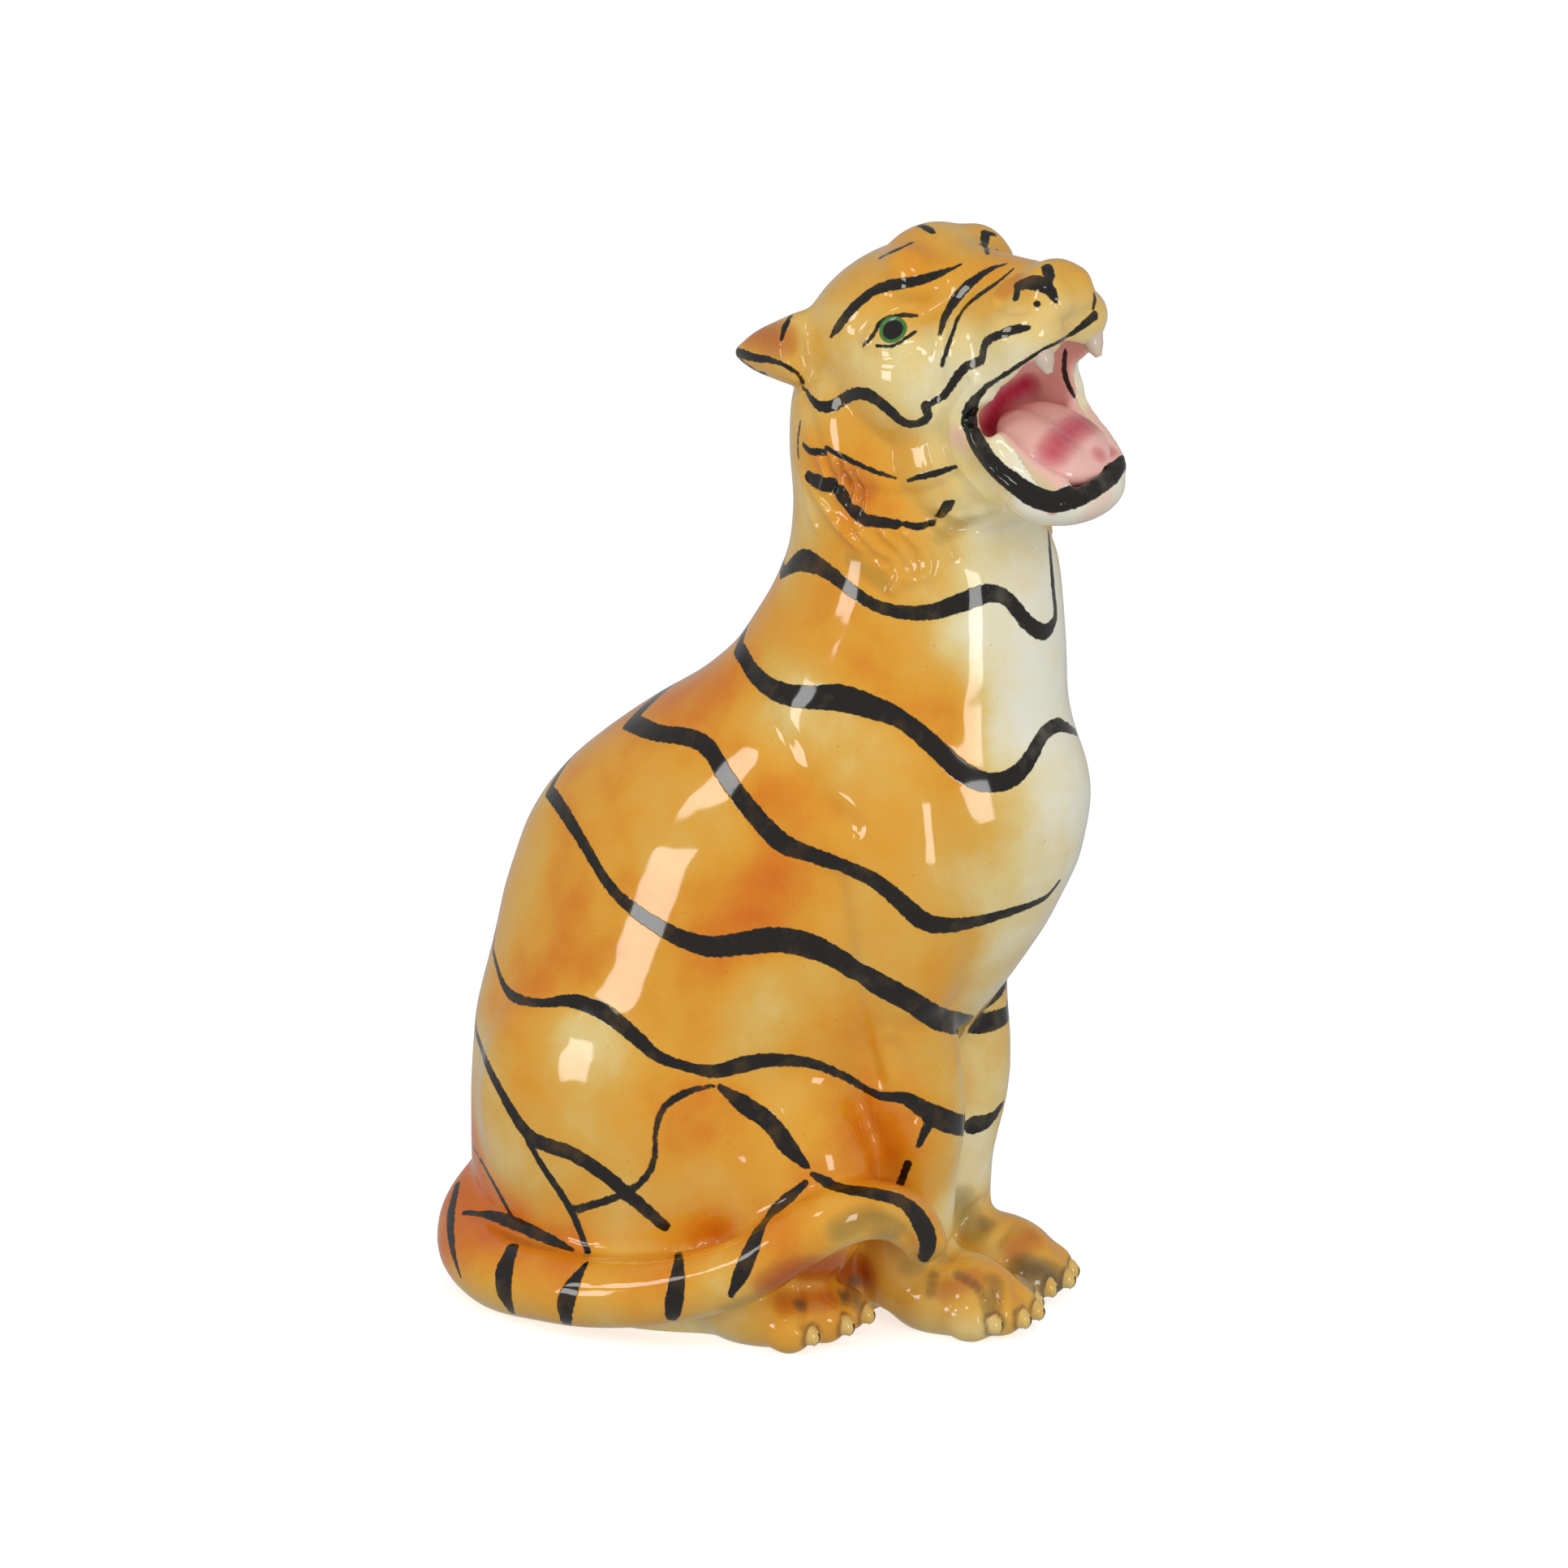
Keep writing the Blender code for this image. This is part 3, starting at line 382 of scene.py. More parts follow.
AIRBRUSH_REACH = 12 * MM

# Creases and raised locks of the modelling: knots in the photograph, width in millimetres,
# and height in millimetres, below nought for a crease
RELIEF = (
    (((918, 828), (950, 890), (985, 955), (1047, 1019)), 9, -1.6),
    (((1029, 1085), (1040, 1150), (1057, 1255), (1078, 1330)), 7, -2.8),
    (((1100, 1290), (1118, 1330), (1133, 1375)), 6, -1.8),
    (((1225, 1470), (1192, 1500), (1168, 1548)), 4, -2.0),
    (((1247, 1507), (1228, 1529)), 3, -1.5),
    (((1075, 1502), (1104, 1511), (1120, 1530), (1126, 1550)), 5, -1.8),
    (((1203, 470), (1178, 500), (1172, 535), (1185, 575), (1218, 614)), 3.2, 1.1),
    (((1190, 470), (1165, 500), (1158, 540), (1170, 580), (1200, 620)), 3.0, -0.9),
    (((1172, 480), (1150, 520), (1146, 552), (1158, 590)), 3.0, 0.8),
    (((1163, 392), (1160, 430), (1158, 470), (1150, 492)), 3.2, -1.0),
    (((1200, 352), (1180, 378), (1166, 410)), 5.0, -0.8),
    (((1232, 377), (1246, 384), (1262, 382)), 3.0, -0.9),
    (((1228, 366), (1240, 352), (1258, 345)), 4.0, 0.9),
    (((1300, 376), (1313, 398)), 2.4, -0.7),
    (((1060, 432), (1078, 440), (1100, 441), (1125, 432)), 4.0, -0.7),
    (((1066, 420), (1080, 398), (1098, 384), (1128, 380)), 3.4, 0.9),
    (((1043, 400), (1070, 372), (1100, 362), (1150, 354)), 7.0, 1.0),
    (((988, 478), (1000, 520), (1014, 560), (1045, 595)), 5.0, -0.9),
    (((1045, 595), (1090, 612), (1140, 608), (1178, 590)), 5.0, -1.4),
    (((1010, 566), (1018, 585), (1014, 602)), 2.6, 1.4),
    (((1026, 570), (1036, 590), (1034, 612)), 2.6, 1.6),
    (((1042, 578), (1054, 598), (1053, 622)), 2.6, 1.6),
    (((1058, 588), (1068, 608), (1068, 632)), 2.6, 1.4),
    (((1018, 566), (1028, 587), (1025, 606)), 1.8, -1.4),
    (((1034, 572), (1046, 594), (1044, 616)), 1.8, -1.4),
    (((1050, 582), (1062, 603), (1060, 628)), 1.8, -1.4),
    (((1003, 606), (1020, 632), (1042, 655), (1060, 668)), 3.0, 1.6),
    (((1030, 640), (1052, 668), (1080, 684), (1090, 700)), 3.0, 1.8),
    (((1062, 656), (1084, 676), (1104, 690), (1110, 712), (1100, 728)), 3.0, 2.0),
    (((1092, 660), (1112, 676), (1124, 694), (1122, 716)), 3.0, 1.8),
    (((1120, 660), (1138, 676), (1146, 694), (1140, 712)), 3.0, 1.6),
    (((1145, 655), (1164, 668), (1172, 684)), 3.0, 1.4),
    (((1150, 640), (1175, 652), (1200, 650), (1230, 634)), 4.0, -1.4),
    (((1160, 625), (1186, 636), (1212, 630)), 3.4, 1.4),
    (((1046, 652), (1068, 676), (1092, 694)), 2.0, -1.6),
    (((1078, 658), (1100, 680), (1112, 702)), 2.0, -1.6),
    (((1108, 662), (1126, 682), (1130, 706)), 2.0, -1.6),
    (((990, 585), (996, 620), (1006, 650)), 3.0, 1.3),
    (((985, 1590), (990, 1612), (988, 1634)), 2.6, -1.9),
    (((1035, 1578), (1042, 1600), (1040, 1622)), 2.6, -1.9),
    (((1180, 1571), (1200, 1583), (1214, 1604), (1216, 1626)), 3.0, -2.2),
    (((1226, 1590), (1230, 1612), (1228, 1634)), 2.4, -1.9),
    (((1244, 1565), (1252, 1590), (1250, 1618)), 2.4, -1.6),
)
RELIEF_REACH = 2.5
RELIEF_FALL = 0.62

# Steps of the sprayed colour, from the bare ivory slip to the full orange
SPRAY_STOPS = (
    (0.0, "#F0EEDA"), (0.12, "#EEE3BC"), (0.28, "#E8D08A"), (0.50, "#E3B04C"),
    (0.68, "#E5A12E"), (0.85, "#DE8418"), (1.0, "#D66C0A"),
)
RUST = "#B4521C"
# Umber: dark brown paint of the paws, also laid as painted shade in the clefts between the toes
UMBER_AND_CLEFT_SHADE = "#5A4632"
# Olive: painted shade for the creases and hollows and under the tail
OLIVE_CREASE_SHADE = "#8A7436"
BLUSH = "#E9B4A0"
PEACH = "#F3BFB4"
MAGENTA = "#C22C4E"
CREAM = "#D6C594"
TOOTH = "#E2CDB8"
INK = "#171410"
IRIS_GREEN = "#487A38"
SPECK = "#6B4020"
CLAY = "#E6DCC6"
CLAY_SHADE = "#C9BCA2"
PAPER = "#F2F2F2"

# Patterns as so many to a metre: spray clouds of 18 mm, spray grains and brush hairs' edges of
# 0.5 and 2.4 mm, streaks of 14 mm in a stroke, specks in cells of 8 mm, waves of 17 mm in the
# glaze, clouds of 6 mm on a tooth, and clay grit of 1.1 mm
CLOUDS = 55.0
GRAINS = 1900.0
HAIRS = 420.0
STREAKS = 70.0
SPECKS = 130.0
WAVES = 60.0
TOOTH_CLOUDS = 160.0
GRIT = 900.0

# How strongly the patterns show: the stretch of a noise that is used, changes of spray depth,
# a speck's radii in its cell and strength, edges in millimetres, and thin places of the ink
NOISE_SPAN = (0.3, 0.7)
CLOUD_DEPTH = 0.08
GRAIN_DEPTH = 0.035
SPECK_SPAN = (0.02, 0.05)
SPECK_STRENGTH = 0.55
RAGGED_EDGE = 0.28
STROKE_EDGE = 0.3
STREAK_ROUGHNESS = 0.62
STREAK_SPAN = (0.50, 0.74)
THINNEST_INK = 0.90
EYE_EDGE = 0.25
TOOTH_SHADE = 0.72

# Bumps as strength and height: waves of the glaze, strokes under it, and the clay's grit
WAVE_BUMP = (0.30, 0.5 * MM)
STROKE_BUMP = (0.35, 0.12 * MM)
GRIT_BUMP = (0.4, 0.2 * MM)
GLAZE_ROUGHNESS = 0.06
TOOTH_ROUGHNESS = 0.08
CLAY_ROUGHNESS = 0.85
PAPER_ROUGHNESS = 0.9
GLAZE_IOR = 1.52

# Eyes, and the places of the face where the skin is divided finer
IRIS_RADIUS = 5.7 * MM
PUPIL_RADIUS = 4.2 * MM
EYE_PIXEL = (1100, 406)
FINE_PIXELS = ((1098, 407), (1275, 362), (1255, 400), (1300, 425), (1330, 400), (1230, 480),
               (1160, 490), (1290, 610), (1350, 590), (1210, 560), (945, 445), (1160, 590),
               (1185, 335), (1220, 350), (1170, 430), (1095, 310), (1080, 580), (1020, 560))
FINE_REACH = 14 * MM
FINE_ROUNDING = 0.6
FAR_OFF = 99.0

# Laying of the strokes and sprays on the skin: pixels between points, sight lines tried beside
# one that misses, and the hand's drift on the side that the photograph doesn't show
BRUSH_STEP = 8
OVER_BACK_STEPS = 16
NEAR_MISSES = (0, 4, 8, 12, 16)
SEEN_SPARE = 1.5 * MM
HEAD_DRIFT = 0.8 * MM
BODY_DRIFT = 3 * MM
DRIFT_SHARE = 0.08
DRIFT_RATES = (0.21, 0.16)
INK_REACH = 12 * MM
LONGEST_STEP = 12 * MM
STROKE_FACING = 0.1
SPRAY_FALL = 1.2
SPRAY_FADE = 2
LINING_SPARE = 1.2 * MM
FOOT_SPARE = 0.01 * MM
CLAW_RING = 0.9 * MM
CLAW_RING_DEPTH = 0.7

# Mending of the skin along its joints: how many points of the skin a new point reads, what
# marks it as new, what the skin keeps on its points, how far a glazed face may turn from the
# skin, and the largest such face
JOINT_NEIGHBOURS = 3
JOINT_SPARE = 0.01 * MM
NEW_POINT_FACING = 0.5
SKIN_LAYERS = (
    ("ink", "value", 1), ("depth", "value", 1), ("tint", "color", 4), ("eye", "value", 1),
    ("skin_normal", "vector", 3),
)
SKIN_FACING = 0.6
CUT_FACE_AREA = 6 * MM * MM

# Tongue, fangs and claws as they are pressed and set in; a fang's rows are drop, rake, radius
TONGUE_MIDDLE = in_mm((74.5, -4.5, -40.5))
TONGUE_SLAB = in_mm((22, 24, 10))
TONGUE_DIP = math.radians(25)
TONGUE_SEGMENTS = 64
TONGUE_GROOVE_WIDTH = 5 * MM
TONGUE_GROOVE = 1.6 * MM
FANG_ROOT = in_mm((89, 13.5, 9))
FANG_PROFILE = in_mm(((0, -2.5, 6.0), (5, -1, 5.2), (10, 1, 3.7), (14, 3, 1.3)))
FANG_SIDES = 32
FANG_STEPS = 6
CLAW_SEGMENTS = 24
CLAW_POINT_FROM = 0.45
CLAW_HOOK = 0.7 * MM
CLAW_MARK_WIDTH = 0.9 * MM
CLAW_MARK_TOP = 1.2 * MM
CLAW_DEPTH = 0.4

# Soft passes of colour, some of them painted shade: knots in the photograph, radius in pixels,
# strength, on both sides
TINTS = (
    (RUST, (
        (((930, 405), (960, 418)), 30, 0.75, True),
        (((955, 1582), (1000, 1562), (1062, 1566)), 34, 0.9, True),
        (((968, 1606), (1022, 1600)), 20, 0.7, True),
        (((1165, 1590), (1200, 1575)), 20, 0.55, True),
        (((1250, 1540), (1270, 1525)), 24, 0.6, True),
        (((1238, 358), (1252, 345)), 16, 0.5, True),
        (((1040, 580), (1065, 600)), 22, 0.5, True),
    )),
    # Olive passes are painted shade: in the hollows by the tail tip, at the foreleg's ankle, under
    # the tail, and in the folds of the neck and chin
    (OLIVE_CREASE_SHADE, (
        (((1035, 1515), (1070, 1500), (1100, 1520)), 22, 0.6, False),
        (((1185, 1480), (1200, 1515)), 26, 0.65, True),
        (((1120, 1560), (1160, 1545)), 18, 0.5, True),
        (((930, 1600), (900, 1612)), 18, 0.4, True),
        (((1050, 690), (1090, 720)), 14, 0.4, True),
        (((1195, 640), (1160, 660)), 14, 0.35, True),
    )),
    # Umber passes are dark brown paint on the paws and one small painted mark, and also painted
    # shade in the clefts between the toes and at the ankle
    (UMBER_AND_CLEFT_SHADE, (
        (((1264, 1564), (1288, 1568), (1302, 1588)), 32, 0.85, True),
        (((1050, 1580), (1056, 1604)), 15, 0.7, True),
        (((1180, 1571), (1200, 1582), (1218, 1603)), 9, 0.6, True),
        (((1146, 1592), (1150, 1572)), 10, 0.55, True),
        (((1040, 1598),), 16, 0.85, True),
        (((985, 1608),), 12, 0.85, True),
        (((1215, 1508),), 16, 0.5, True),
        (((1225, 1580), (1222, 1610)), 18, 0.55, True),
    )),
    (PEACH, (
        (((1346, 508), (1364, 532), (1380, 556)), 13, 0.9, False),
    )),
    (BLUSH, (
        (((1180, 540),), 22, 0.7, True),
        (((1360, 620), (1345, 640)), 30, 0.5, True),
    )),
)
MOUTH_TINTS = (
    (MAGENTA, (
        (((1218, 525), (1236, 492), (1262, 474)), 26, 1.0, False),
        (((1350, 545), (1366, 556)), 14, 0.6, False),
    )),
    (CREAM, (
        (((1222, 540), (1255, 575), (1294, 606)), 15, 0.95, False),
    )),
)
TONGUE_TINTS = (
    (MAGENTA, (
        (((1298, 556), (1318, 532), (1340, 518)), 26, 0.85, False),
        (((1235, 505),), 22, 0.8, False),
        (((1355, 560),), 14, 0.6, False),
    )),
)

# The set: room light, paper, and soft boxes as azimuth and elevation in degrees, size in
# metres, radiance, and whether the glaze mirrors them
ROOM_LIGHT = 0.43
PAPER_GLOW = 0.62
FLOOR_SIZE = 12
FLOOR_DROP = 0.5 * MM
CAMERA_REACH = 50
LIT_POINT = Vector((0, 0, 0.2))
LAMP_DISTANCE = 1.9
SOFT_BOXES = (
    ("left soft box", -130, 1, (0.36, 0.44), 7, True),
    ("left upper soft box", -131, 21, (0.36, 0.36), 7, True),
    ("right soft box", -40, 1, (0.34, 0.60), 7, True),
    ("high soft box", -100, 46, (0.30, 0.30), 7, True),
    ("window", -42, 28, (1.6, 1.6), 1.6, False),
    ("back window", -150, 30, (1.6, 1.6), 0.6, False),
)


def deselect():
    bpy.ops.object.select_all(action="DESELECT")


def activate(item):
    deselect()
    item.select_set(True)
    bpy.context.view_layer.objects.active = item


def apply_modifiers(item):
    activate(item)
    for modifier in list(item.modifiers):
        bpy.ops.object.modifier_apply(modifier=modifier.name)
    return item


def put_in_scene(name, data):
    """A new object in the scene that holds the data."""
    item = bpy.data.objects.new(name, data)
    bpy.context.scene.collection.objects.link(item)
    return item


def ellipsoid(name, centre, radii, pitch=0, segments=32):
    """A round mass at its place, tipped front up by the pitch."""
    deselect()
    bpy.ops.mesh.primitive_uv_sphere_add(segments=segments, ring_count=segments // 2, radius=1,
                                         location=centre, rotation=(-pitch, 0, 0), scale=radii)
    bpy.ops.object.transform_apply(location=True, rotation=True, scale=True)
    item = bpy.context.object
    item.name = name
    return item


def box(name, low, high):
    """A block between two corners."""
    centre = (Vector(low) + Vector(high)) / 2
    size = Vector(high) - Vector(low)
    deselect()
    bpy.ops.mesh.primitive_cube_add(size=1, location=centre, scale=size)
    bpy.ops.object.transform_apply(location=True, rotation=True, scale=True)
    item = bpy.context.object
    item.name = name
    return item


def tube(name, path, sides=20, steps=5, extra=0.0):
    """A round bar along a smooth path, with its radius at each point."""
    curve = bpy.data.curves.new(name, "CURVE")
    curve.dimensions = "3D"
    curve.bevel_depth = 1
    curve.bevel_resolution = sides // 4
    curve.resolution_u = steps
    curve.use_fill_caps = True
    spline = curve.splines.new("BEZIER")
    spline.bezier_points.add(len(path) - 1)
    for knot, (place, radius) in zip(spline.bezier_points, path):
        knot.co = place
        knot.radius = radius + extra
        knot.handle_left_type = "AUTO"
        knot.handle_right_type = "AUTO"
    activate(put_in_scene(name, curve))
    bpy.ops.object.convert(target="MESH")
    item = bpy.context.object
    bpy.ops.object.mode_set(mode="EDIT")
    bpy.ops.mesh.select_all(action="SELECT")
    bpy.ops.mesh.remove_doubles(threshold=WELD)
    bpy.ops.mesh.normals_make_consistent(inside=False)
    bpy.ops.object.mode_set(mode="OBJECT")
    return item


def trunk():
    """The body drawn up from an oval foot, section by section, to the nape."""
    height, half_width, back, front = TRUNK_SECTIONS[0]
    height -= FOOT_ALLOWANCE
    middle = (back + front) / 2
    depth = (back - front) / 2
    deselect()
    bpy.ops.mesh.primitive_circle_add(vertices=SECTION_POINTS, radius=half_width,
                                      fill_type="NGON", location=(0, middle, height))
    bpy.ops.object.transform_apply(location=True, rotation=True, scale=True)
    item = bpy.context.object
    bpy.ops.object.mode_set(mode="EDIT")
    bpy.ops.mesh.select_all(action="SELECT")
    bpy.ops.transform.resize(value=(1, depth / half_width, 1), center_override=(0, middle, height))
    for next_height, next_width, back, front in TRUNK_SECTIONS[1:]:
        next_middle = (back + front) / 2
        next_depth = (back - front) / 2
        rise = (0, next_middle - middle, next_height - height)
        bpy.ops.mesh.extrude_region_move(TRANSFORM_OT_translate={"value": rise})
        bpy.ops.transform.resize(value=(next_width / half_width, next_depth / depth, 1),
                                 center_override=(0, next_middle, next_height))
        height, half_width, middle, depth = next_height, next_width, next_middle, next_depth
    bpy.ops.mesh.select_all(action="SELECT")
    bpy.ops.mesh.normals_make_consistent(inside=False)
    bpy.ops.object.mode_set(mode="OBJECT")
    return item


def prism(name, outline, half_width, bevel):
    """A side-view outline of the head, forward and up, given width to both sides."""
    shape = bmesh.new()
    near = [shape.verts.new(in_head(forward, half_width, up)) for forward, up in outline]
    far = [shape.verts.new(in_head(forward, -half_width, up)) for forward, up in outline]
    shape.faces.new(near)
    shape.faces.new(list(reversed(far)))
    for index in range(len(outline)):
        after = (index + 1) % len(outline)
        shape.faces.new((near[after], near[index], far[index], far[after]))
    bmesh.ops.recalc_face_normals(shape, faces=shape.faces)
    mesh = bpy.data.meshes.new(name)
    shape.to_mesh(mesh)
    shape.free()
    item = put_in_scene(name, mesh)
    if bevel:
        rounded = item.modifiers.new("rounded", "BEVEL")
        rounded.width = bevel
        rounded.segments = BEVEL_STEPS
    return apply_modifiers(item)


def fuse(name, pieces, grain, softening):
    """Join overlapping masses into one skin and soften the creases between them."""
    deselect()
    for piece in pieces:
        piece.select_set(True)
    bpy.context.view_layer.objects.active = pieces[0]
    if len(pieces) > 1:
        bpy.ops.object.join()
    item = bpy.context.object
    item.name = name
    remesh = item.modifiers.new("skin", "REMESH")
    remesh.mode = "VOXEL"
    remesh.voxel_size = grain
    smooth = item.modifiers.new("soften", "SMOOTH")
    smooth.factor = SOFTENING_SHARE
    smooth.iterations = softening
    return apply_modifiers(item)


def cut_with(item, operation, form):
    cut = item.modifiers.new("cut", "BOOLEAN")
    cut.operation = operation
    cut.object = form
    cut.solver = "MANIFOLD"
    apply_modifiers(item)


def carve(item, form):
    """Take the form away from the item, and the form itself out of the scene."""
    cut_with(item, "DIFFERENCE", form)
    bpy.data.objects.remove(form)


def part_off(figure, name, form):
    """Take the casting inside the form off the figure, along its slip joint."""
    casting = figure.copy()
    casting.data = figure.data.copy()
    casting.name = name
    bpy.context.scene.collection.objects.link(casting)
    cut_with(casting, "INTERSECT", form)
    carve(figure, form)
    return casting


def mirrored(place, side):
    outward, along, height = place
    return (side * outward, along, height)


def in_head(forward, right, up):
    """A point of the head: forward of the pivot, to the tiger's right, and up."""
    return Vector((-right, -forward, up))


def on_side(place, side):
    """A point of the head, laid on the side given."""
    forward, right, up = place
    return in_head(forward, -side * right, up)


def head_path(path, side=SIDES["right"]):
    return [(on_side(place, side), radius) for place, radius in path]


def head_mass(name, centre, radii, pitch, side=SIDES["right"]):
    return ellipsoid(name, on_side(in_mm(centre), side), in_mm(radii), math.radians(pitch))


HEAD_TURNED = Matrix.Rotation(-HEAD_TURN, 4, "Z") @ Matrix.Rotation(-HEAD_LEAN, 4, "Y")
HEAD_PLACE = Matrix.Translation(Vector(HEAD_PIVOT)) @ HEAD_TURNED
HEAD_UNPLACED = HEAD_PLACE.inverted()


def body_masses():
    pieces = [trunk()]
    for side in SIDES.values():
        for name, centre, radii in BODY_PAIRS:
            pieces.append(ellipsoid(name, mirrored(in_mm(centre), side), in_mm(radii)))
    return pieces


def limb_masses():
    pieces = []
    for side in SIDES.values():
        pieces.append(tube("leg", [(mirrored(place, side), radius) for place, radius in LEG_PATH]))
        for name, (centre, radii), toes, toe_radii in PAWS:
            pieces.append(ellipsoid(name, mirrored(centre, side), radii))
            for toe in toes:
                pieces.append(ellipsoid("toe", mirrored(toe, side), toe_radii))
    pieces.append(tube("tail", TAIL_PATH, TAIL_SIDES, TAIL_STEPS))
    return pieces


def ear_line(side):
    """Root and tip of one ear in the head's own frame."""
    return on_side(EAR_ROOT, side), on_side(EAR_TIP, side)


def head_masses():
    """Skull, brows, cheeks, bridge, muzzle, jaw and ears in the head's own frame."""
    pieces = [head_mass(*form) for form in HEAD_FORMS]
    pieces += [tube(name, head_path(path)) for name, path in HEAD_BARS.items()]
    for side in SIDES.values():
        pieces += [head_mass(*form, side) for form in HEAD_PAIRS]
        pieces.append(tube("lip", head_path(LIP_PATH, side)))
        pieces.append(tube("philtrum", head_path(NOSE_FILL, side)))
        root, tip = ear_line(side)
        bend = root.lerp(tip, EAR_TAPER_PLACE)
        ear = ((root, EAR_RADIUS), (bend, EAR_RADIUS * EAR_TAPER), (tip, EAR_TIP_RADIUS))
        pieces.append(tube("ear", ear))
    return pieces


def gape_form():
    """The opening between the jaws, cut through from side to side."""
    form = prism("gape", GAPE_OUTLINE, GAPE_HALF_WIDTH, GAPE_FORM_BEVEL)
    hinge = Matrix.Translation(in_head(GAPE_OUTLINE[0][0], GAPE_HINGE, 0))
    form.data.transform(hinge @ Matrix.Rotation(-GAPE_TURN, 4, "Z") @ hinge.inverted())
    return form


def sculpt_figure():
    """The outside of the whole tiger, cut flat where it stands."""
    body = fuse("body", body_masses(), BODY_GRAIN, BODY_SOFTENING)
    body = fuse("body", [body] + limb_masses(), FORM_GRAIN, FORM_SOFTENING)
    head = fuse("head", head_masses(), FORM_GRAIN, HEAD_SOFTENING)
    carve(head, gape_form())
    carve(head, prism("mouth", MOUTH_OUTLINE, MOUTH_HALF_WIDTH, MOUTH_FORM_BEVEL))
    for side in SIDES.values():
        carve(head, ellipsoid("hollow", on_side(EAR_HOLLOW, side), EAR_HOLLOW_RADII))
    rolls = [tube("lower lip", head_path(LOWER_LIP)), tube("gum", head_path(GUM_RIDGE)),
             tube("far gum", head_path(GUM_RIDGE, SIDES["left"]))]
    head = fuse("head", [head] + rolls, LIP_GRAIN, LIP_SOFTENING)
    head.data.transform(HEAD_PLACE)
    figure = fuse("figure", [body, head], SKIN_GRAIN, SKIN_SOFTENING)
    carve(figure, box("floor", (-BEYOND, -BEYOND, -BEYOND), (BEYOND, BEYOND, 0)))
    return figure


def skin_tree(item):
    """A search tree over the skin, for laying strokes on it."""
    places = [vert.co for vert in item.data.vertices]
    return BVHTree.FromPolygons(places, [tuple(face.vertices) for face in item.data.polygons])


def direction(azimuth, elevation):
    """The way out from the figure, turned from its front by the azimuth and raised."""
    return Vector((math.sin(azimuth) * math.cos(elevation),
                   -math.cos(azimuth) * math.cos(elevation), math.sin(elevation)))


TOWARD = direction(AZIMUTH, ELEVATION)
RIGHT = Vector((math.cos(AZIMUTH), math.sin(AZIMUTH), 0))
UP = TOWARD.cross(RIGHT)
FOCUS = (RIGHT * ((PHOTO_SIDE / 2 - ORIGIN_PIXEL[0]) * PIXEL)
         + UP * ((ORIGIN_PIXEL[1] - PHOTO_SIDE / 2) * PIXEL) + TOWARD * FOCUS_DEPTH)
EYE_POINT = FOCUS + TOWARD * (PHOTO_SIDE * PIXEL / SENSOR * LENS)


def photo_hit(tree, across, down):
    """Where the sight line through a pixel of the photograph meets the skin, or the skin's
    edge a few pixels off where the line just misses it."""
    for miss in NEAR_MISSES:
        for eighth in range(8 if miss else 1):
            aside = across + miss * math.cos(eighth * math.pi / 4)
            below = down + miss * math.sin(eighth * math.pi / 4)
            target = (FOCUS + RIGHT * ((aside - PHOTO_SIDE / 2) * PIXEL)
                      + UP * ((PHOTO_SIDE / 2 - below) * PIXEL))
            sight = (target - EYE_POINT).normalized()
            place, normal, face, distance = tree.ray_cast(EYE_POINT, sight)
            if place is not None:
                return place, normal
    return None, None


def in_photo(tree, place):
    """Whether the photograph shows this place of the skin."""
    sight = place - EYE_POINT
    hit, normal, face, distance = tree.ray_cast(EYE_POINT, sight.normalized())
    return hit is not None and distance > sight.length - SEEN_SPARE


def brushed(knots, step):
    """Close-set points along a smooth Catmull-Rom line through the knots."""
    rows = np.array(knots, float)
    rows = np.vstack((2 * rows[0] - rows[1], rows, 2 * rows[-1] - rows[-2]))
    rows[0, 2:] = rows[1, 2:]
    rows[-1, 2:] = rows[-2, 2:]
    line = []
    for index in range(1, len(rows) - 2):
        before, start, end, after = rows[index - 1:index + 3]
        count = max(1, int(np.hypot(*(end - start)[:2]) / step))
        for part in range(count):
            t = part / count
            line.append(0.5 * (2 * start + (end - before) * t
                               + (2 * before - 5 * start + 4 * end - after) * t * t
                               + (3 * start - before - 3 * end + after) * t ** 3))
    line.append(rows[-2])
    return np.array(line)


def laid_on_skin(tree, knots, rise=None):
    """A stroke of the photograph on the skin: its places, facings and half widths."""
    path = []
    for across, down, width in brushed(knots, BRUSH_STEP):
        place, normal = photo_hit(tree, across, down)
        if place is not None:
            path.append((place, normal, width * PIXEL / 2))
    if rise is not None and path:
        place, normal, half = path[0]
        over = []
        for part in range(1, OVER_BACK_STEPS + 1):
            share = part / OVER_BACK_STEPS
            height = place.z + rise * math.sin(share * math.pi / 2)
            start = Vector((place.x * (1 - share), BEYOND, height))
            hit, facing, face, distance = tree.ray_cast(start, Vector((0, -1, 0)))
            if hit is not None:
                over.append((hit, facing, half))
        path = over[::-1] + path
    return path


def other_side(tree, path, on_head):
    """The stroke repeated on the side that the photograph doesn't show."""
    runs = [[]]
    for index, (place, normal, half) in enumerate(path):
        waves = [math.sin(index * rate + half / MM) for rate in DRIFT_RATES]
        drift = Vector((0, *waves))
        if on_head:
            local = HEAD_UNPLACED @ place
            twin = HEAD_PLACE @ Vector((-local.x, local.y, local.z))
            twin += drift * HEAD_DRIFT
        else:
            twin = Vector((-place.x, place.y, place.z))
            twin += drift * min(BODY_DRIFT, abs(place.x) * DRIFT_SHARE)
        spot, facing, face, distance = tree.find_nearest(twin)
        if in_photo(tree, spot):
            if runs[-1]:
                runs.append([])
        else:
            runs[-1].append((spot, facing, half))
    return [run for run in runs if len(run) > 1]


def all_strokes(tree):
    """Every painted stroke of the figure, laid on the skin on both sides."""
    paths = []
    for name, knots in STROKES.items():
        path = laid_on_skin(tree, knots, OVER_BACK.get(name))
        paths.append(path)
        if name not in RIGHT_ONLY:
            paths += other_side(tree, path, knots[0][1] < HEAD_STROKES_ABOVE)
    return [path for path in paths if len(path) > 1]


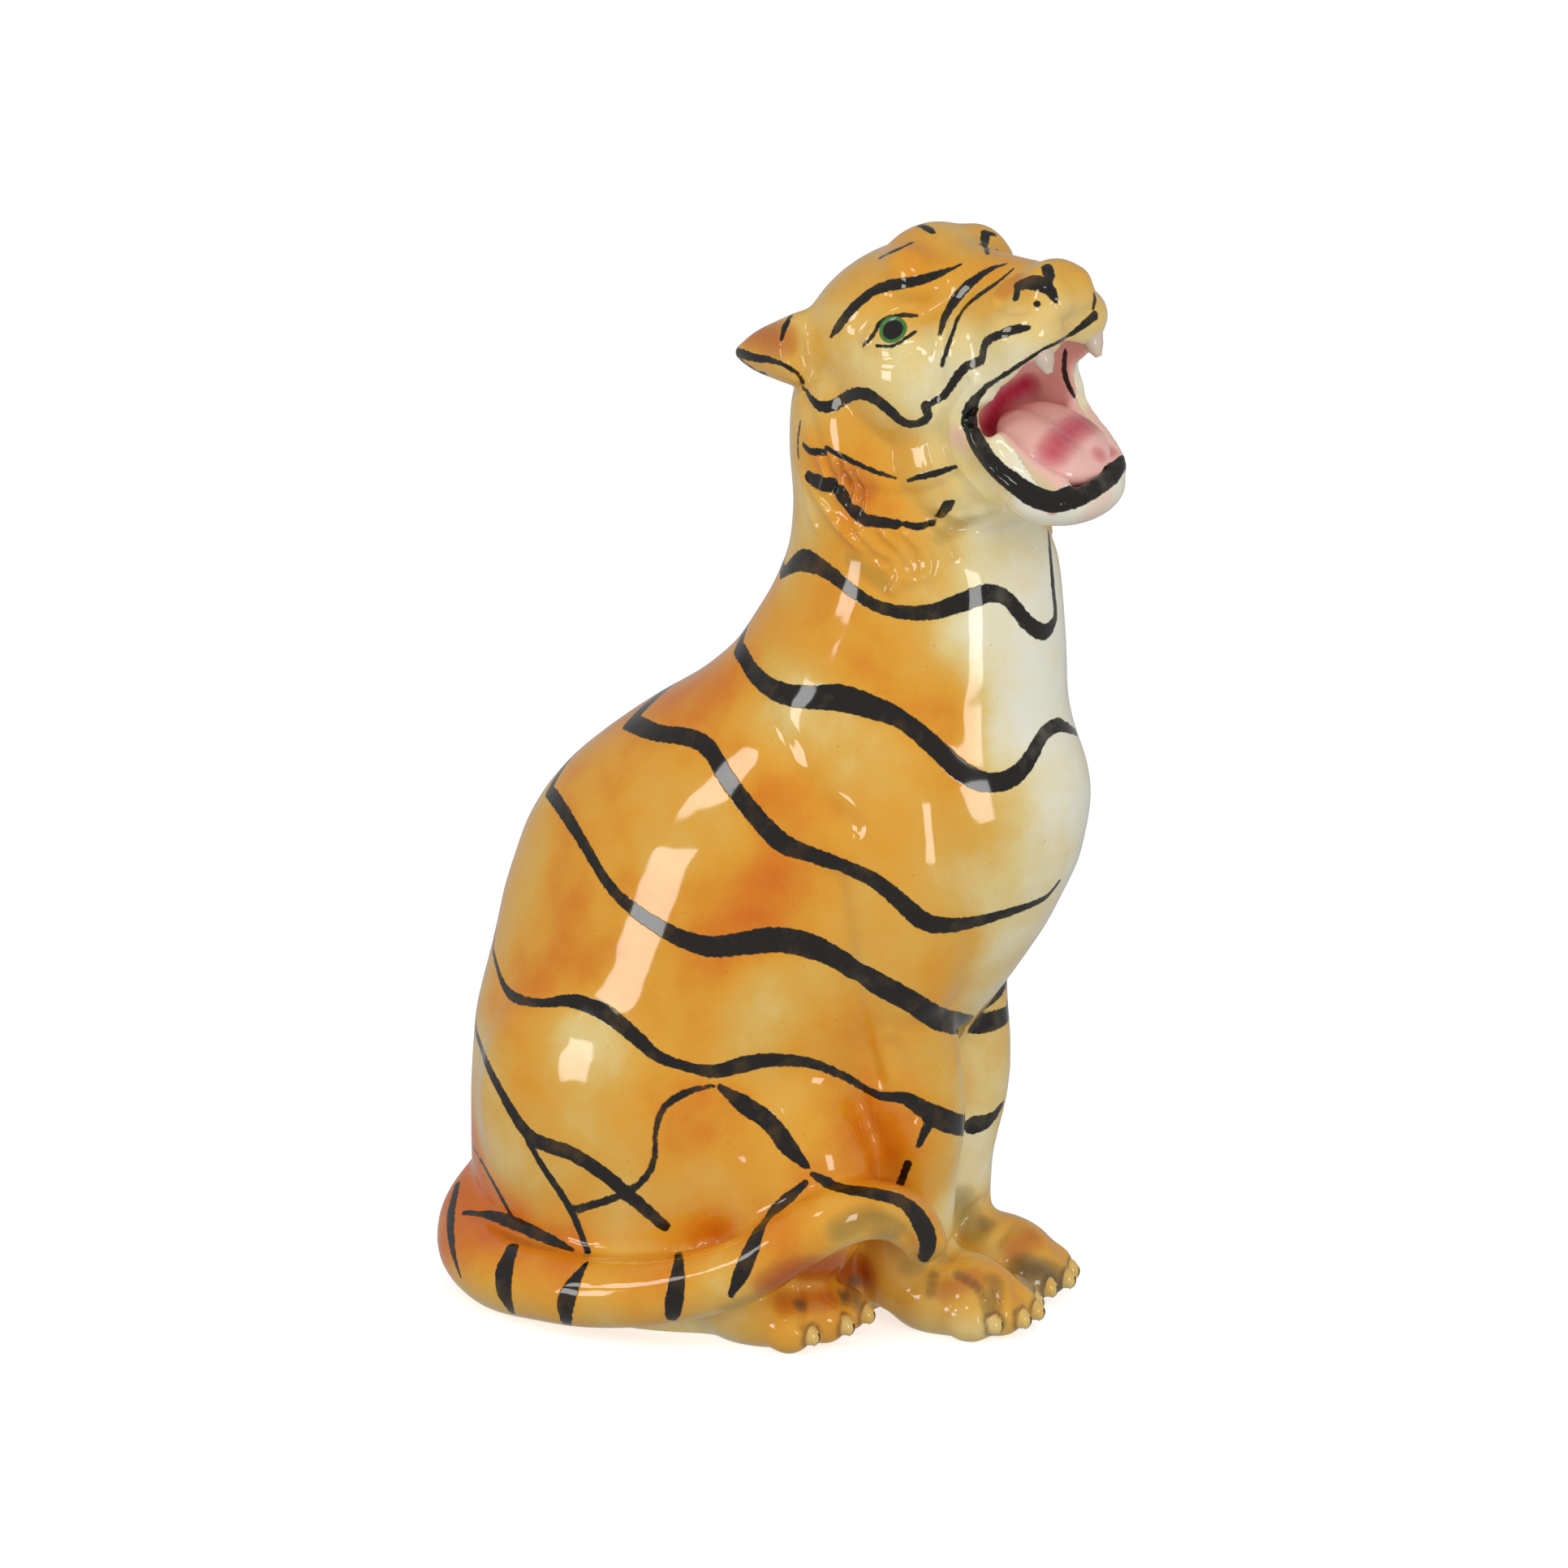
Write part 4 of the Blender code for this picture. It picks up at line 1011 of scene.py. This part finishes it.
def nearest_stroke(places, normals, paths, reach):
    """Distance of every place to the edge of the nearest stroke, below nought inside it."""
    field = np.full(len(places), reach)
    for path in paths:
        points, facings, halves = (np.array([tuple(row[0]) for row in path]),
                                   np.array([tuple(row[1]) for row in path]),
                                   np.array([row[2] for row in path]))
        margin = reach + halves.max()
        low, high = points.min(0) - margin, points.max(0) + margin
        near = np.nonzero(((places > low) & (places < high)).all(1))[0]
        spots, faces = places[near], normals[near]
        best = field[near]
        for index in range(len(points) - 1):
            start, span = points[index], points[index + 1] - points[index]
            length = np.linalg.norm(span)
            if length > LONGEST_STEP or length < TINY:
                continue
            offset = spots - start
            close = np.nonzero((offset ** 2).sum(1) < (margin + length) ** 2)[0]
            part = np.clip(offset[close] @ span / length ** 2, 0, 1)
            away = offset[close] - part[:, None] * span
            width = halves[index] + part * (halves[index + 1] - halves[index])
            distance = np.sqrt((away ** 2).sum(1)) - width
            facing = facings[index] + part[:, None] * (facings[index + 1] - facings[index])
            turned = (faces[close] * facing).sum(1) < STROKE_FACING
            distance = np.where(turned, reach, distance)
            best[close] = np.minimum(best[close], distance)
        field[near] = best
    return field


def relief_offset(places, normals, tree):
    """How far each place of the skin moves out or in for the modelled creases and locks."""
    offset = np.zeros(len(places))
    for knots, width, height in RELIEF:
        path = laid_on_skin(tree, [(across, down, 0) for across, down in knots])
        if len(path) < 2:
            continue
        for run in [path] + other_side(tree, path, knots[0][1] < HEAD_ABOVE):
            away = nearest_stroke(places, normals, [run], RELIEF_REACH * width * MM)
            offset += height * MM * np.exp(-(away / (RELIEF_FALL * width * MM)) ** 2)
    return offset


def mixed_readings(places, spots, values, reach):
    """Blend of the readings taken at the spots, each felt over the reach."""
    total = np.zeros(len(places))
    weight = np.full(len(places), TINY)
    for spot, value in zip(spots, values):
        pull = np.exp(-((places - np.array(spot)) ** 2).sum(1) / (2 * reach ** 2))
        total += pull * value
        weight += pull
    return total / weight


def sprayed(places, tree, passes):
    """Soft airbrush passes: how strongly each place of the skin is covered."""
    cover = np.zeros(len(places))
    for knots, radius, strength, both in passes:
        knots = [(across, down, radius * 2) for across, down in knots]
        path = laid_on_skin(tree, knots if len(knots) > 1 else knots * 2)
        runs = [path]
        if both:
            runs += other_side(tree, path, knots[0][1] < HEAD_ABOVE)
        for run in runs:
            best = np.full(len(places), 1.0)
            for place, normal, half in run:
                best = np.minimum(best, ((places - np.array(place)) ** 2).sum(1) / half ** 2)
            cover = np.maximum(cover, strength * np.exp(-SPRAY_FALL * best) * (best < 1.0)
                               * np.clip((1 - best) * SPRAY_FADE, 0, 1))
    return cover


def read(items, field, size=1, kind=np.float32):
    """One field of all the points, corners or faces of a mesh, a row for each."""
    values = np.empty(len(items) * size, kind)
    items.foreach_get(field, values)
    return values.reshape(-1, size)


def skin_arrays(item):
    """Places and facings of all the points of a skin."""
    return [read(item.data.vertices, field, 3, float) for field in ("co", "normal")]


def keep_on_points(item, name, values, kind="FLOAT"):
    """Store one value for each point of the skin, for the glaze to read."""
    layer = item.data.attributes.new(name, kind, "POINT")
    field = {"FLOAT": "value", "FLOAT_VECTOR": "vector", "FLOAT_COLOR": "color"}[kind]
    layer.data.foreach_set(field, np.ascontiguousarray(values, dtype=np.float32).ravel())


def linear(code):
    """An sRGB hex colour as linear light."""
    channels = [int(code[place:place + 2], 16) / 255 for place in (1, 3, 5)]
    return tuple(c / 12.92 if c <= 0.04045 else ((c + 0.055) / 1.055) ** 2.4 for c in channels)


def solid(code):
    return (*linear(code), 1)


def add(tree, kind, inputs=None, **settings):
    """Add a shader node with its settings, and link or set its inputs."""
    made = tree.nodes.new("ShaderNode" + kind)
    for name, value in settings.items():
        setattr(made, name, value)
    for name, value in (inputs or {}).items():
        if isinstance(value, bpy.types.NodeSocket):
            tree.links.new(value, made.inputs[name])
        else:
            made.inputs[name].default_value = value
    return made


def noise(tree, place, to_a_metre, detail, **more):
    inputs = {"Vector": place, "Scale": to_a_metre, "Detail": detail, **more}
    return add(tree, "TexNoise", inputs).outputs[0]


def spread(tree, value, span, first, last, **settings):
    """The span of a value, spread out from the first number to the last."""
    inputs = {0: value, 1: span[0], 2: span[1], 3: first, 4: last}
    return add(tree, "MapRange", inputs, **settings).outputs[0]


def reckon(tree, operation, first, second):
    return add(tree, "Math", {0: first, 1: second}, operation=operation).outputs[0]


def blend(tree, share, below, above):
    """One colour laid over another by the share."""
    return add(tree, "Mix", {0: share, 6: below, 7: above}, data_type="RGBA").outputs[2]


def bumped(tree, height, bump, **more):
    inputs = {"Height": height, "Strength": bump[0], "Distance": bump[1], **more}
    return add(tree, "Bump", inputs).outputs[0]


def start_material(name):
    """An empty material, its nodes, and the places in the piece's own coordinates."""
    material = bpy.data.materials.new(name)
    material.use_nodes = True
    tree = material.node_tree
    tree.nodes.clear()
    return material, tree, add(tree, "TexCoord").outputs["Object"]


def end_material(tree, colour, roughness, **more):
    inputs = {"Base Color": colour, "Roughness": roughness, **more}
    shader = add(tree, "BsdfPrincipled", inputs)
    add(tree, "OutputMaterial", {"Surface": shader.outputs[0]})


def painted_glaze():
    """Earthenware under a clear glaze, airbrushed from ivory to orange and then banded by hand
    in black-brown: a wet gloss, soft colour steps and strokes that thin out in streaks."""
    glaze, tree, place = start_material("clear_glaze_over_airbrushed_earthenware")
    depth, ink, eye = [add(tree, "Attribute", attribute_name=name).outputs["Fac"]
                       for name in ("depth", "ink", "eye")]
    tint = add(tree, "Attribute", attribute_name="tint")

    # The spray's clouds and grains move its depth along the colour steps
    cloud = spread(tree, noise(tree, place, CLOUDS, 3.0), NOISE_SPAN, -CLOUD_DEPTH, CLOUD_DEPTH)
    grain = spread(tree, noise(tree, place, GRAINS, 1.0), NOISE_SPAN, -GRAIN_DEPTH, GRAIN_DEPTH)
    sprayed_depth = reckon(tree, "ADD", depth, reckon(tree, "ADD", cloud, grain))
    ramp = add(tree, "ValToRGB", {0: sprayed_depth})
    stops = ramp.color_ramp.elements
    stops[0].color = solid(SPRAY_STOPS[0][1])
    stops[1].color = solid(SPRAY_STOPS[-1][1])
    for position, code in SPRAY_STOPS[1:-1]:
        stops.new(position).color = solid(code)
    colour = blend(tree, tint.outputs["Alpha"], ramp.outputs[0], tint.outputs["Color"])

    # Tiny brown iron specks, about one to six square centimetres
    specks = add(tree, "TexVoronoi", {"Vector": place, "Scale": SPECKS}).outputs["Distance"]
    speck = spread(tree, specks, SPECK_SPAN, SPECK_STRENGTH, 0.0)
    colour = blend(tree, speck, colour, solid(SPECK))

    # Brush strokes: a slightly ragged edge, and streaks of thinner colour inside
    edge = spread(tree, noise(tree, place, HAIRS, 2.0), NOISE_SPAN, -RAGGED_EDGE, RAGGED_EDGE)
    ragged = reckon(tree, "ADD", ink, edge)
    cover = spread(tree, ragged, (-STROKE_EDGE, STROKE_EDGE), 1.0, 0.0,
                   interpolation_type="SMOOTHSTEP")
    streak = noise(tree, place, STREAKS, 5.0, Roughness=STREAK_ROUGHNESS)
    thin = spread(tree, streak, STREAK_SPAN, 1.0, THINNEST_INK)
    colour = blend(tree, reckon(tree, "MULTIPLY", cover, thin), colour, solid(INK))

    # Eyes: a green ring with a round black pupil
    for radius, code in ((IRIS_RADIUS / MM, IRIS_GREEN), (PUPIL_RADIUS / MM, INK)):
        disc = spread(tree, eye, (radius - EYE_EDGE, radius + EYE_EDGE), 1.0, 0.0)
        colour = blend(tree, disc, colour, solid(code))

    # The poured glaze lies in faint waves, and stands up over the strokes
    ripple = bumped(tree, noise(tree, place, WAVES, 1.0), WAVE_BUMP)
    raised = bumped(tree, cover, STROKE_BUMP, Normal=ripple)
    end_material(tree, colour, GLAZE_ROUGHNESS, IOR=GLAZE_IOR, Normal=raised)
    return glaze


def tooth_paint():
    """White slip under the same clear glaze: a warm white that clouds slightly."""
    glaze, tree, place = start_material("clear_glaze_on_tooth_white_slip")
    darker = (*[channel * TOOTH_SHADE for channel in linear(TOOTH)], 1)
    colour = blend(tree, noise(tree, place, TOOTH_CLOUDS, 3.0), darker, solid(TOOTH))
    end_material(tree, colour, TOOTH_ROUGHNESS, IOR=GLAZE_IOR)
    return glaze


def bare_clay():
    """Unglazed biscuit where the foot was wiped clean: matt, chalky cream with fine grit."""
    clay, tree, place = start_material("bare_biscuit_earthenware")
    grit = noise(tree, place, GRIT, 4.0)
    colour = blend(tree, spread(tree, grit, NOISE_SPAN, 0.0, 1.0), solid(CLAY_SHADE), solid(CLAY))
    end_material(tree, colour, CLAY_ROUGHNESS, Normal=bumped(tree, grit, GRIT_BUMP))
    return clay


def set_camera():
    """The photograph's own viewing angle and lens."""
    lens = bpy.data.cameras.new("camera")
    lens.lens = LENS
    lens.sensor_width = SENSOR
    lens.clip_end = CAMERA_REACH
    holder = put_in_scene("camera", lens)
    turned = Matrix((RIGHT, UP, TOWARD)).transposed().to_4x4()
    holder.matrix_world = Matrix.Translation(EYE_POINT + SHIFT) @ turned
    bpy.context.scene.camera = holder


def soft_box(name, azimuth, elevation, size, radiance, mirrored_in_glaze):
    """A rectangular soft box turned to the middle of the figure, as bright as the radiance."""
    lamp = bpy.data.lights.new(name, "AREA")
    lamp.shape = "RECTANGLE"
    lamp.size, lamp.size_y = size
    lamp.energy = radiance * math.pi * size[0] * size[1]
    holder = put_in_scene(name, lamp)
    facing = direction(math.radians(azimuth), math.radians(elevation))
    turned = facing.to_track_quat("Z", "Y").to_matrix().to_4x4()
    holder.matrix_world = Matrix.Translation(LIT_POINT + facing * LAMP_DISTANCE) @ turned
    holder.visible_glossy = mirrored_in_glaze


def white_room():
    """A white room that lights the figure softly and shows white behind it."""
    room = bpy.data.worlds.new("white room")
    bpy.context.scene.world = room
    room.use_nodes = True
    tree = room.node_tree
    tree.nodes.clear()
    seen = add(tree, "LightPath").outputs["Is Camera Ray"]
    soft = add(tree, "Background", {"Color": (1, 1, 1, 1), "Strength": ROOM_LIGHT})
    white = add(tree, "Background", {"Color": (1, 1, 1, 1), "Strength": 1.0})
    both = add(tree, "MixShader", {0: seen, 1: soft.outputs[0], 2: white.outputs[0]})
    add(tree, "OutputWorld", {"Surface": both.outputs[0]})


def paper_floor():
    """A pale paper sweep under the figure."""
    deselect()
    bpy.ops.mesh.primitive_plane_add(size=FLOOR_SIZE, location=(0, 0, -FLOOR_DROP))
    floor = bpy.context.object
    floor.name = "floor"
    paper = bpy.data.materials.new("matt_white_paper")
    paper.use_nodes = True
    shader = paper.node_tree.nodes["Principled BSDF"]
    shader.inputs["Base Color"].default_value = solid(PAPER)
    shader.inputs["Roughness"].default_value = PAPER_ROUGHNESS
    shader.inputs["Emission Color"].default_value = (1, 1, 1, 1)
    shader.inputs["Emission Strength"].default_value = PAPER_GLOW
    floor.data.materials.append(paper)
    floor.visible_diffuse = False
    floor.visible_glossy = False


def inside_outline(rows, outline, spare):
    """Which of the (forward, up) rows lie inside an outline of the head, or within the spare."""
    inside = np.zeros(len(rows), bool)
    near = np.full(len(rows), np.inf)
    for (first, low), (second, high) in zip(outline, outline[1:] + outline[:1]):
        crosses = (low > rows[:, 1]) != (high > rows[:, 1])
        level = high - low if high != low else TINY
        inside ^= crosses & (rows[:, 0] < (second - first) * (rows[:, 1] - low) / level + first)
        span = np.array((second - first, high - low))
        part = np.clip(((rows - (first, low)) @ span) / (span @ span), 0, 1)
        near = np.minimum(near, np.linalg.norm(rows - (first, low) - part[:, None] * span, axis=1))
    return inside | (near < spare)


def head_rows(places):
    """The places as forward, right and up in the head's own frame."""
    turned = np.array(HEAD_UNPLACED)
    local = places @ turned[:3, :3].T + turned[:3, 3]
    return np.stack((-local[:, 1], -local[:, 0], local[:, 2]), axis=1)


def mouth_lining(places):
    """How far each place belongs to the pink lining of the mouth, 0 to 1."""
    rows = head_rows(places)
    lined = inside_outline(rows[:, [0, 2]], MOUTH_OUTLINE, LINING_SPARE)
    lined &= np.abs(rows[:, 1]) < MOUTH_HALF_WIDTH + LINING_SPARE
    return lined.astype(float)


def coat(item, ink, depth, tint, eye):
    """Keep on the skin what the painted glaze reads: strokes, spray depth, tints and eyes."""
    keep_on_points(item, "ink", ink / MM)
    keep_on_points(item, "depth", depth)
    keep_on_points(item, "tint", tint, "FLOAT_COLOR")
    keep_on_points(item, "eye", eye)


def layered(tint, cover, code):
    """Lay one soft pass of colour over the tints already there."""
    below = tint[:, 3] * (1 - cover)
    total = np.maximum(cover + below, LEAST)
    colour = tint[:, :3] * below[:, None] + np.array(linear(code)) * cover[:, None]
    return np.column_stack((colour / total[:, None], cover + below))


def lay_tints(places, tree, tint, tints, share=1):
    for code, passes in tints:
        tint = layered(tint, sprayed(places, tree, passes) * share, code)
    return tint


def place_and_twin(tree, across, down, on_head=True):
    """The place of the skin at a pixel of the photograph, and its twin on the other side."""
    place, normal = photo_hit(tree, across, down)
    if place is None:
        return []
    return [place] + [run[0][0] for run in other_side(tree, [(place, normal, 0)] * 2, on_head)]


def spray_depth(places, tree):
    """Depth of the orange spray over the whole skin, from the places read on both sides."""
    spots, values = [], []
    for value, pixels in AIRBRUSH:
        for across, down in pixels:
            found = place_and_twin(tree, across, down, down < HEAD_ABOVE)
            spots += found
            values += [value] * len(found)
    return mixed_readings(places, spots, values, AIRBRUSH_REACH)


def eye_rings(places, tree):
    """Distance in millimetres to the middle of the nearer eye."""
    eyes = place_and_twin(tree, *EYE_PIXEL)
    return np.minimum.reduce([np.linalg.norm(places - np.array(eye), axis=1) for eye in eyes]) / MM


def finer_face(item):
    """Divide the skin again where the fine lines of the eyes, nose and lips are painted."""
    tree = skin_tree(item)
    centres = []
    for across, down in FINE_PIXELS:
        centres += place_and_twin(tree, across, down)
    shape = bmesh.new()
    shape.from_mesh(item.data)
    edges = []
    for edge in shape.edges:
        middle = (edge.verts[0].co + edge.verts[1].co) / 2
        if any((middle - centre).length_squared < FINE_REACH ** 2 for centre in centres):
            edges.append(edge)
    bmesh.ops.subdivide_edges(shape, edges=edges, cuts=1, use_grid_fill=True, smooth=FINE_ROUNDING)
    shape.to_mesh(item.data)
    shape.free()


def carved_relief(item):
    """Press the creases in and raise the locks of fur, and keep the foot level."""
    tree = skin_tree(item)
    places, normals = skin_arrays(item)
    raised = places + normals * relief_offset(places, normals, tree)[:, None]
    on_foot = places[:, 2] < FOOT_SPARE
    raised[:, 2] = np.where(on_foot, places[:, 2], np.maximum(raised[:, 2], 2 * FOOT_SPARE))
    item.data.vertices.foreach_set("co", raised.ravel())
    item.data.update()


def claw_centre(side, toe, radii):
    outward, along, height = toe
    return Vector((side * outward, along - radii[1] * CLAW_REACH, height - CLAW_DROP))


def claws_of(side):
    """Every claw of one side: its paw, its number and its centre."""
    return [(paw, number, claw_centre(side, toe, radii))
            for paw, pad, toes, radii in PAWS for number, toe in enumerate(toes, 1)]


def paint_figure(item):
    """Keep on the whole skin its strokes, spray, tints and eyes, and the way it faces."""
    tree = skin_tree(item)
    places, normals = skin_arrays(item)
    ink = nearest_stroke(places, normals, all_strokes(tree), INK_REACH)
    untinted = np.zeros((len(places), 4))
    tint = lay_tints(places, tree, untinted, TINTS)
    for side in SIDES.values():
        # A dark-brown painted line rings each claw on its toe
        for paw, number, centre in claws_of(side):
            away = np.linalg.norm(places - np.array(centre), axis=1)
            ring = CLAW_RING_DEPTH * np.exp(-((away - CLAW_RADII[1]) / CLAW_RING) ** 2)
            tint = layered(tint, ring, UMBER_AND_CLEFT_SHADE)
    lining = mouth_lining(places)
    pink = lay_tints(places, tree, layered(untinted, lining, PEACH), MOUTH_TINTS, lining)
    tint = np.where(lining[:, None] > 0, pink, tint)
    coat(item, ink, spray_depth(places, tree), tint, eye_rings(places, tree))
    keep_on_points(item, "skin_normal", normals, "FLOAT_VECTOR")
    glazed = item.data.attributes.new("glazed", "BOOLEAN", "FACE")
    glazed.data.foreach_set("value", np.ones(len(item.data.polygons), bool))


def skin_record(figure):
    """The whole skin's points and all that is kept on them, to mend the joints from."""
    points = KDTree(len(figure.data.vertices))
    for vert in figure.data.vertices:
        points.insert(vert.co, vert.index)
    points.balance()
    return points, [(name, field, size, read(figure.data.attributes[name].data, field, size))
                    for name, field, size in SKIN_LAYERS]


def mend_joint_points(casting, points, values):
    """Give the new points along a joint what the skin has beside them."""
    mesh = casting.data
    skin = read(mesh.attributes["skin_normal"].data, "vector", 3)
    fresh = np.nonzero(np.linalg.norm(skin, axis=1) < NEW_POINT_FACING)[0]
    beside = [points.find_n(mesh.vertices[index].co, JOINT_NEIGHBOURS) for index in fresh]
    for name, field, size, whole in values:
        layer = read(mesh.attributes[name].data, field, size)
        for index, found in zip(fresh, beside):
            pull = np.array([1 / (distance + JOINT_SPARE) for place, near, distance in found])
            rows = whole[[near for place, near, distance in found]]
            layer[index] = (pull[:, None] * rows).sum(0) / pull.sum()
        mesh.attributes[name].data.foreach_set(field, layer.ravel())


def shade_as_one_skin(casting):
    """Give the glazed faces the facing of the whole skin, so that a joint doesn't show, and
    leave the joint faces, the chamber and the foot as bare clay."""
    mesh = casting.data
    faces = mesh.polygons
    skin = read(mesh.attributes["skin_normal"].data, "vector", 3)
    glazed = read(mesh.attributes["glazed"].data, "value", kind=bool)[:, 0]
    corners = read(mesh.loops, "vertex_index", kind=np.int32)[:, 0]
    totals = read(faces, "loop_total", kind=np.int32)[:, 0]
    flat = read(faces, "normal", 3)
    owner = np.repeat(np.arange(len(faces)), totals)
    outward = np.bincount(owner, (skin[corners] * flat[owner]).sum(1)) / totals
    glazed |= (outward > SKIN_FACING) & (read(faces, "area")[:, 0] < CUT_FACE_AREA)
    glazed &= read(faces, "center", 3)[:, 2] > FOOT_SPARE
    facing = np.where(glazed[owner][:, None], skin[corners], flat[owner])
    facing /= np.maximum(np.linalg.norm(facing, axis=1), LEAST)[:, None]
    mesh.normals_split_custom_set(facing.tolist())
    faces.foreach_set("material_index", (~glazed).astype(np.int32))


def cast_parts(figure):
    """Part the skin along the slip joints into the castings, one for each node."""
    castings = {}
    form = tube("tail form", TAIL_PATH, TAIL_SIDES, TAIL_STEPS, TAIL_SEAM)
    castings["tail"] = part_off(figure, "tail_casting", form)
    form = box("leg form", (-LEG_SEAM_WIDTH, -BEYOND, -BEYOND),
               (LEG_SEAM_WIDTH, LEG_SEAM_Y, LEG_SEAM_HEIGHT))
    legs = part_off(figure, "foreleg_right_casting", form)
    form = box("half", (0, -BEYOND, -BEYOND), (BEYOND, BEYOND, BEYOND))
    castings["foreleg_left"] = part_off(legs, "foreleg_left_casting", form)
    castings["foreleg_right"] = legs
    for side_name, side in SIDES.items():
        inner, outer = sorted((side * HINDPAW_SEAM_LOW[0], side * HINDPAW_SEAM_HIGH[0]))
        form = box("hind form", (inner, HINDPAW_SEAM_LOW[1], -BEYOND),
                   (outer, HINDPAW_SEAM_HIGH[1], HINDPAW_SEAM_HIGH[2]))
        castings[f"hindpaw_{side_name}"] = part_off(figure, f"hindpaw_{side_name}_casting", form)
    form = box("neck form", (-BEYOND, -BEYOND, 0), (BEYOND, BEYOND, BEYOND))
    form.data.transform(Matrix.Translation((0, HEAD_PIVOT[1], NECK_SEAM_HEIGHT))
                        @ Matrix.Rotation(NECK_SEAM_SLOPE, 4, "X"))
    head = part_off(figure, "head_casting", form)
    form = prism("jaw form", JAW_SEAM_OUTLINE, GAPE_HALF_WIDTH, 0)
    form.data.transform(HEAD_PLACE)
    castings["lower_jaw"] = part_off(head, "jaw_casting", form)
    for side_name, side in SIDES.items():
        root, tip = ear_line(side)
        form = ellipsoid("ear form", root.lerp(tip, EAR_SEAM_PLACE), EAR_SEAM_RADII,
                         segments=EAR_SEAM_SEGMENTS)
        form.data.transform(HEAD_PLACE)
        castings[f"ear_{side_name}"] = part_off(head, f"ear_{side_name}_casting", form)
    castings["head_shell"] = head
    figure.name = "torso_casting"
    carve(figure, ellipsoid("chamber", CHAMBER_CENTRE, CHAMBER_RADII))
    pour_hole = [(Vector((0, POUR_HOLE_Y, height)), POUR_HOLE_RADIUS)
                 for height in (-FOOT_ALLOWANCE, CHAMBER_CENTRE[2])]
    carve(figure, tube("pour hole", pour_hole, POUR_HOLE_SIDES, 1))
    castings["torso_shell"] = figure
    return castings


def make_tongue():
    """The broad tongue: a slab with a hollow down its middle, lying on the floor of the jaw."""
    slab = ellipsoid("tongue_pressing", in_head(*TONGUE_MIDDLE), TONGUE_SLAB, -TONGUE_DIP,
                     TONGUE_SEGMENTS)
    slab.data.transform(HEAD_PLACE)
    places, normals = skin_arrays(slab)
    rows = head_rows(places)
    groove = np.exp(-((rows[:, 1] - TONGUE_MIDDLE[1]) / TONGUE_GROOVE_WIDTH) ** 2)
    top = np.clip(normals @ np.array(HEAD_TURNED.to_3x3() @ Vector((0, 0, 1))), 0, 1)
    places -= normals * (groove * top * TONGUE_GROOVE)[:, None]
    slab.data.vertices.foreach_set("co", places.ravel())
    slab.data.update()
    count = len(places)
    tint = layered(np.zeros((count, 4)), np.ones(count), PEACH)
    tint = lay_tints(places, skin_tree(slab), tint, TONGUE_TINTS)
    coat(slab, np.full(count, INK_REACH), np.zeros(count), tint, np.full(count, FAR_OFF))
    return slab


def make_fang(side_name):
    """A tapered, slightly hooked fang set under the upper lip."""
    forward, right, up = FANG_ROOT
    path = [((forward + rake, right, up - drop), radius) for drop, rake, radius in FANG_PROFILE]
    path = head_path(path, SIDES[side_name])
    tooth = tube(f"fang_{side_name}_pressing", path, FANG_SIDES, FANG_STEPS)
    tooth.data.transform(HEAD_PLACE)
    return tooth


def make_claw(name, centre):
    """A pressed claw: an oval bead drawn to a blunt point, with one dark brush mark."""
    claw = ellipsoid(name, centre, CLAW_RADII, 0, CLAW_SEGMENTS)
    bpy.ops.object.mode_set(mode="EDIT")
    shape = bmesh.from_edit_mesh(claw.data)
    for vert in shape.verts:
        vert.select = vert.co.y < centre.y - CLAW_RADII[1] * CLAW_POINT_FROM
    shape.select_flush_mode()
    bmesh.update_edit_mesh(claw.data)
    bpy.ops.transform.translate(value=(0, 0, -CLAW_HOOK))
    bpy.ops.object.mode_set(mode="OBJECT")
    places, normals = skin_arrays(claw)
    count = len(places)
    mark = np.abs(places[:, 0] - centre.x) - CLAW_MARK_WIDTH
    mark = np.maximum(mark, places[:, 2] - centre.z - CLAW_MARK_TOP)
    coat(claw, mark, np.full(count, CLAW_DEPTH), np.zeros((count, 4)), np.full(count, FAR_OFF))
    return claw


def hand_in(piece, node_name, slot, *paints):
    """Put a finished piece where its node is, give it its glaze, and hide the node."""
    piece.data.shade_smooth()
    piece.data.materials.clear()
    for paint in paints:
        piece.data.materials.append(paint)
    piece.data.transform(Matrix.Translation(SHIFT))
    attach(piece, "root")
    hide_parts(node_name)


figure = sculpt_figure()
finer_face(figure)
carved_relief(figure)
paint_figure(figure)

# The nodes stand a little aside of the sculpt, by as much as the first claw
claw_low, claw_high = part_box("forepaw_claw_right_1")
first_claw = claw_centre(SIDES["right"], FORETOES[0], FORETOE_RADII)
SHIFT = (Vector(claw_low) + Vector(claw_high)) / 2 - first_claw
SHIFT.z = 0

clear_glaze = painted_glaze()
tooth_glaze = tooth_paint()
body_clay = bare_clay()
skin_points, skin_values = skin_record(figure)
for node_name, casting in cast_parts(figure).items():
    mend_joint_points(casting, skin_points, skin_values)
    slot = "glaze_ivory" if node_name == "lower_jaw" else "glaze_orange"
    hand_in(casting, node_name, slot, clear_glaze, body_clay)
    shade_as_one_skin(casting)
hand_in(make_tongue(), "tongue", "glaze_pink", clear_glaze)
for side_name, side in SIDES.items():
    hand_in(make_fang(side_name), f"upper_fang_{side_name}", "glaze_tooth", tooth_glaze)
    for paw, number, centre in claws_of(side):
        name = f"{paw}_claw_{side_name}_{number}"
        hand_in(make_claw(name + "_bead", centre), name, "glaze_umber", clear_glaze)

paper_floor()
white_room()
set_camera()
for setting in SOFT_BOXES:
    soft_box(*setting)
bpy.context.scene.view_settings.view_transform = "Standard"
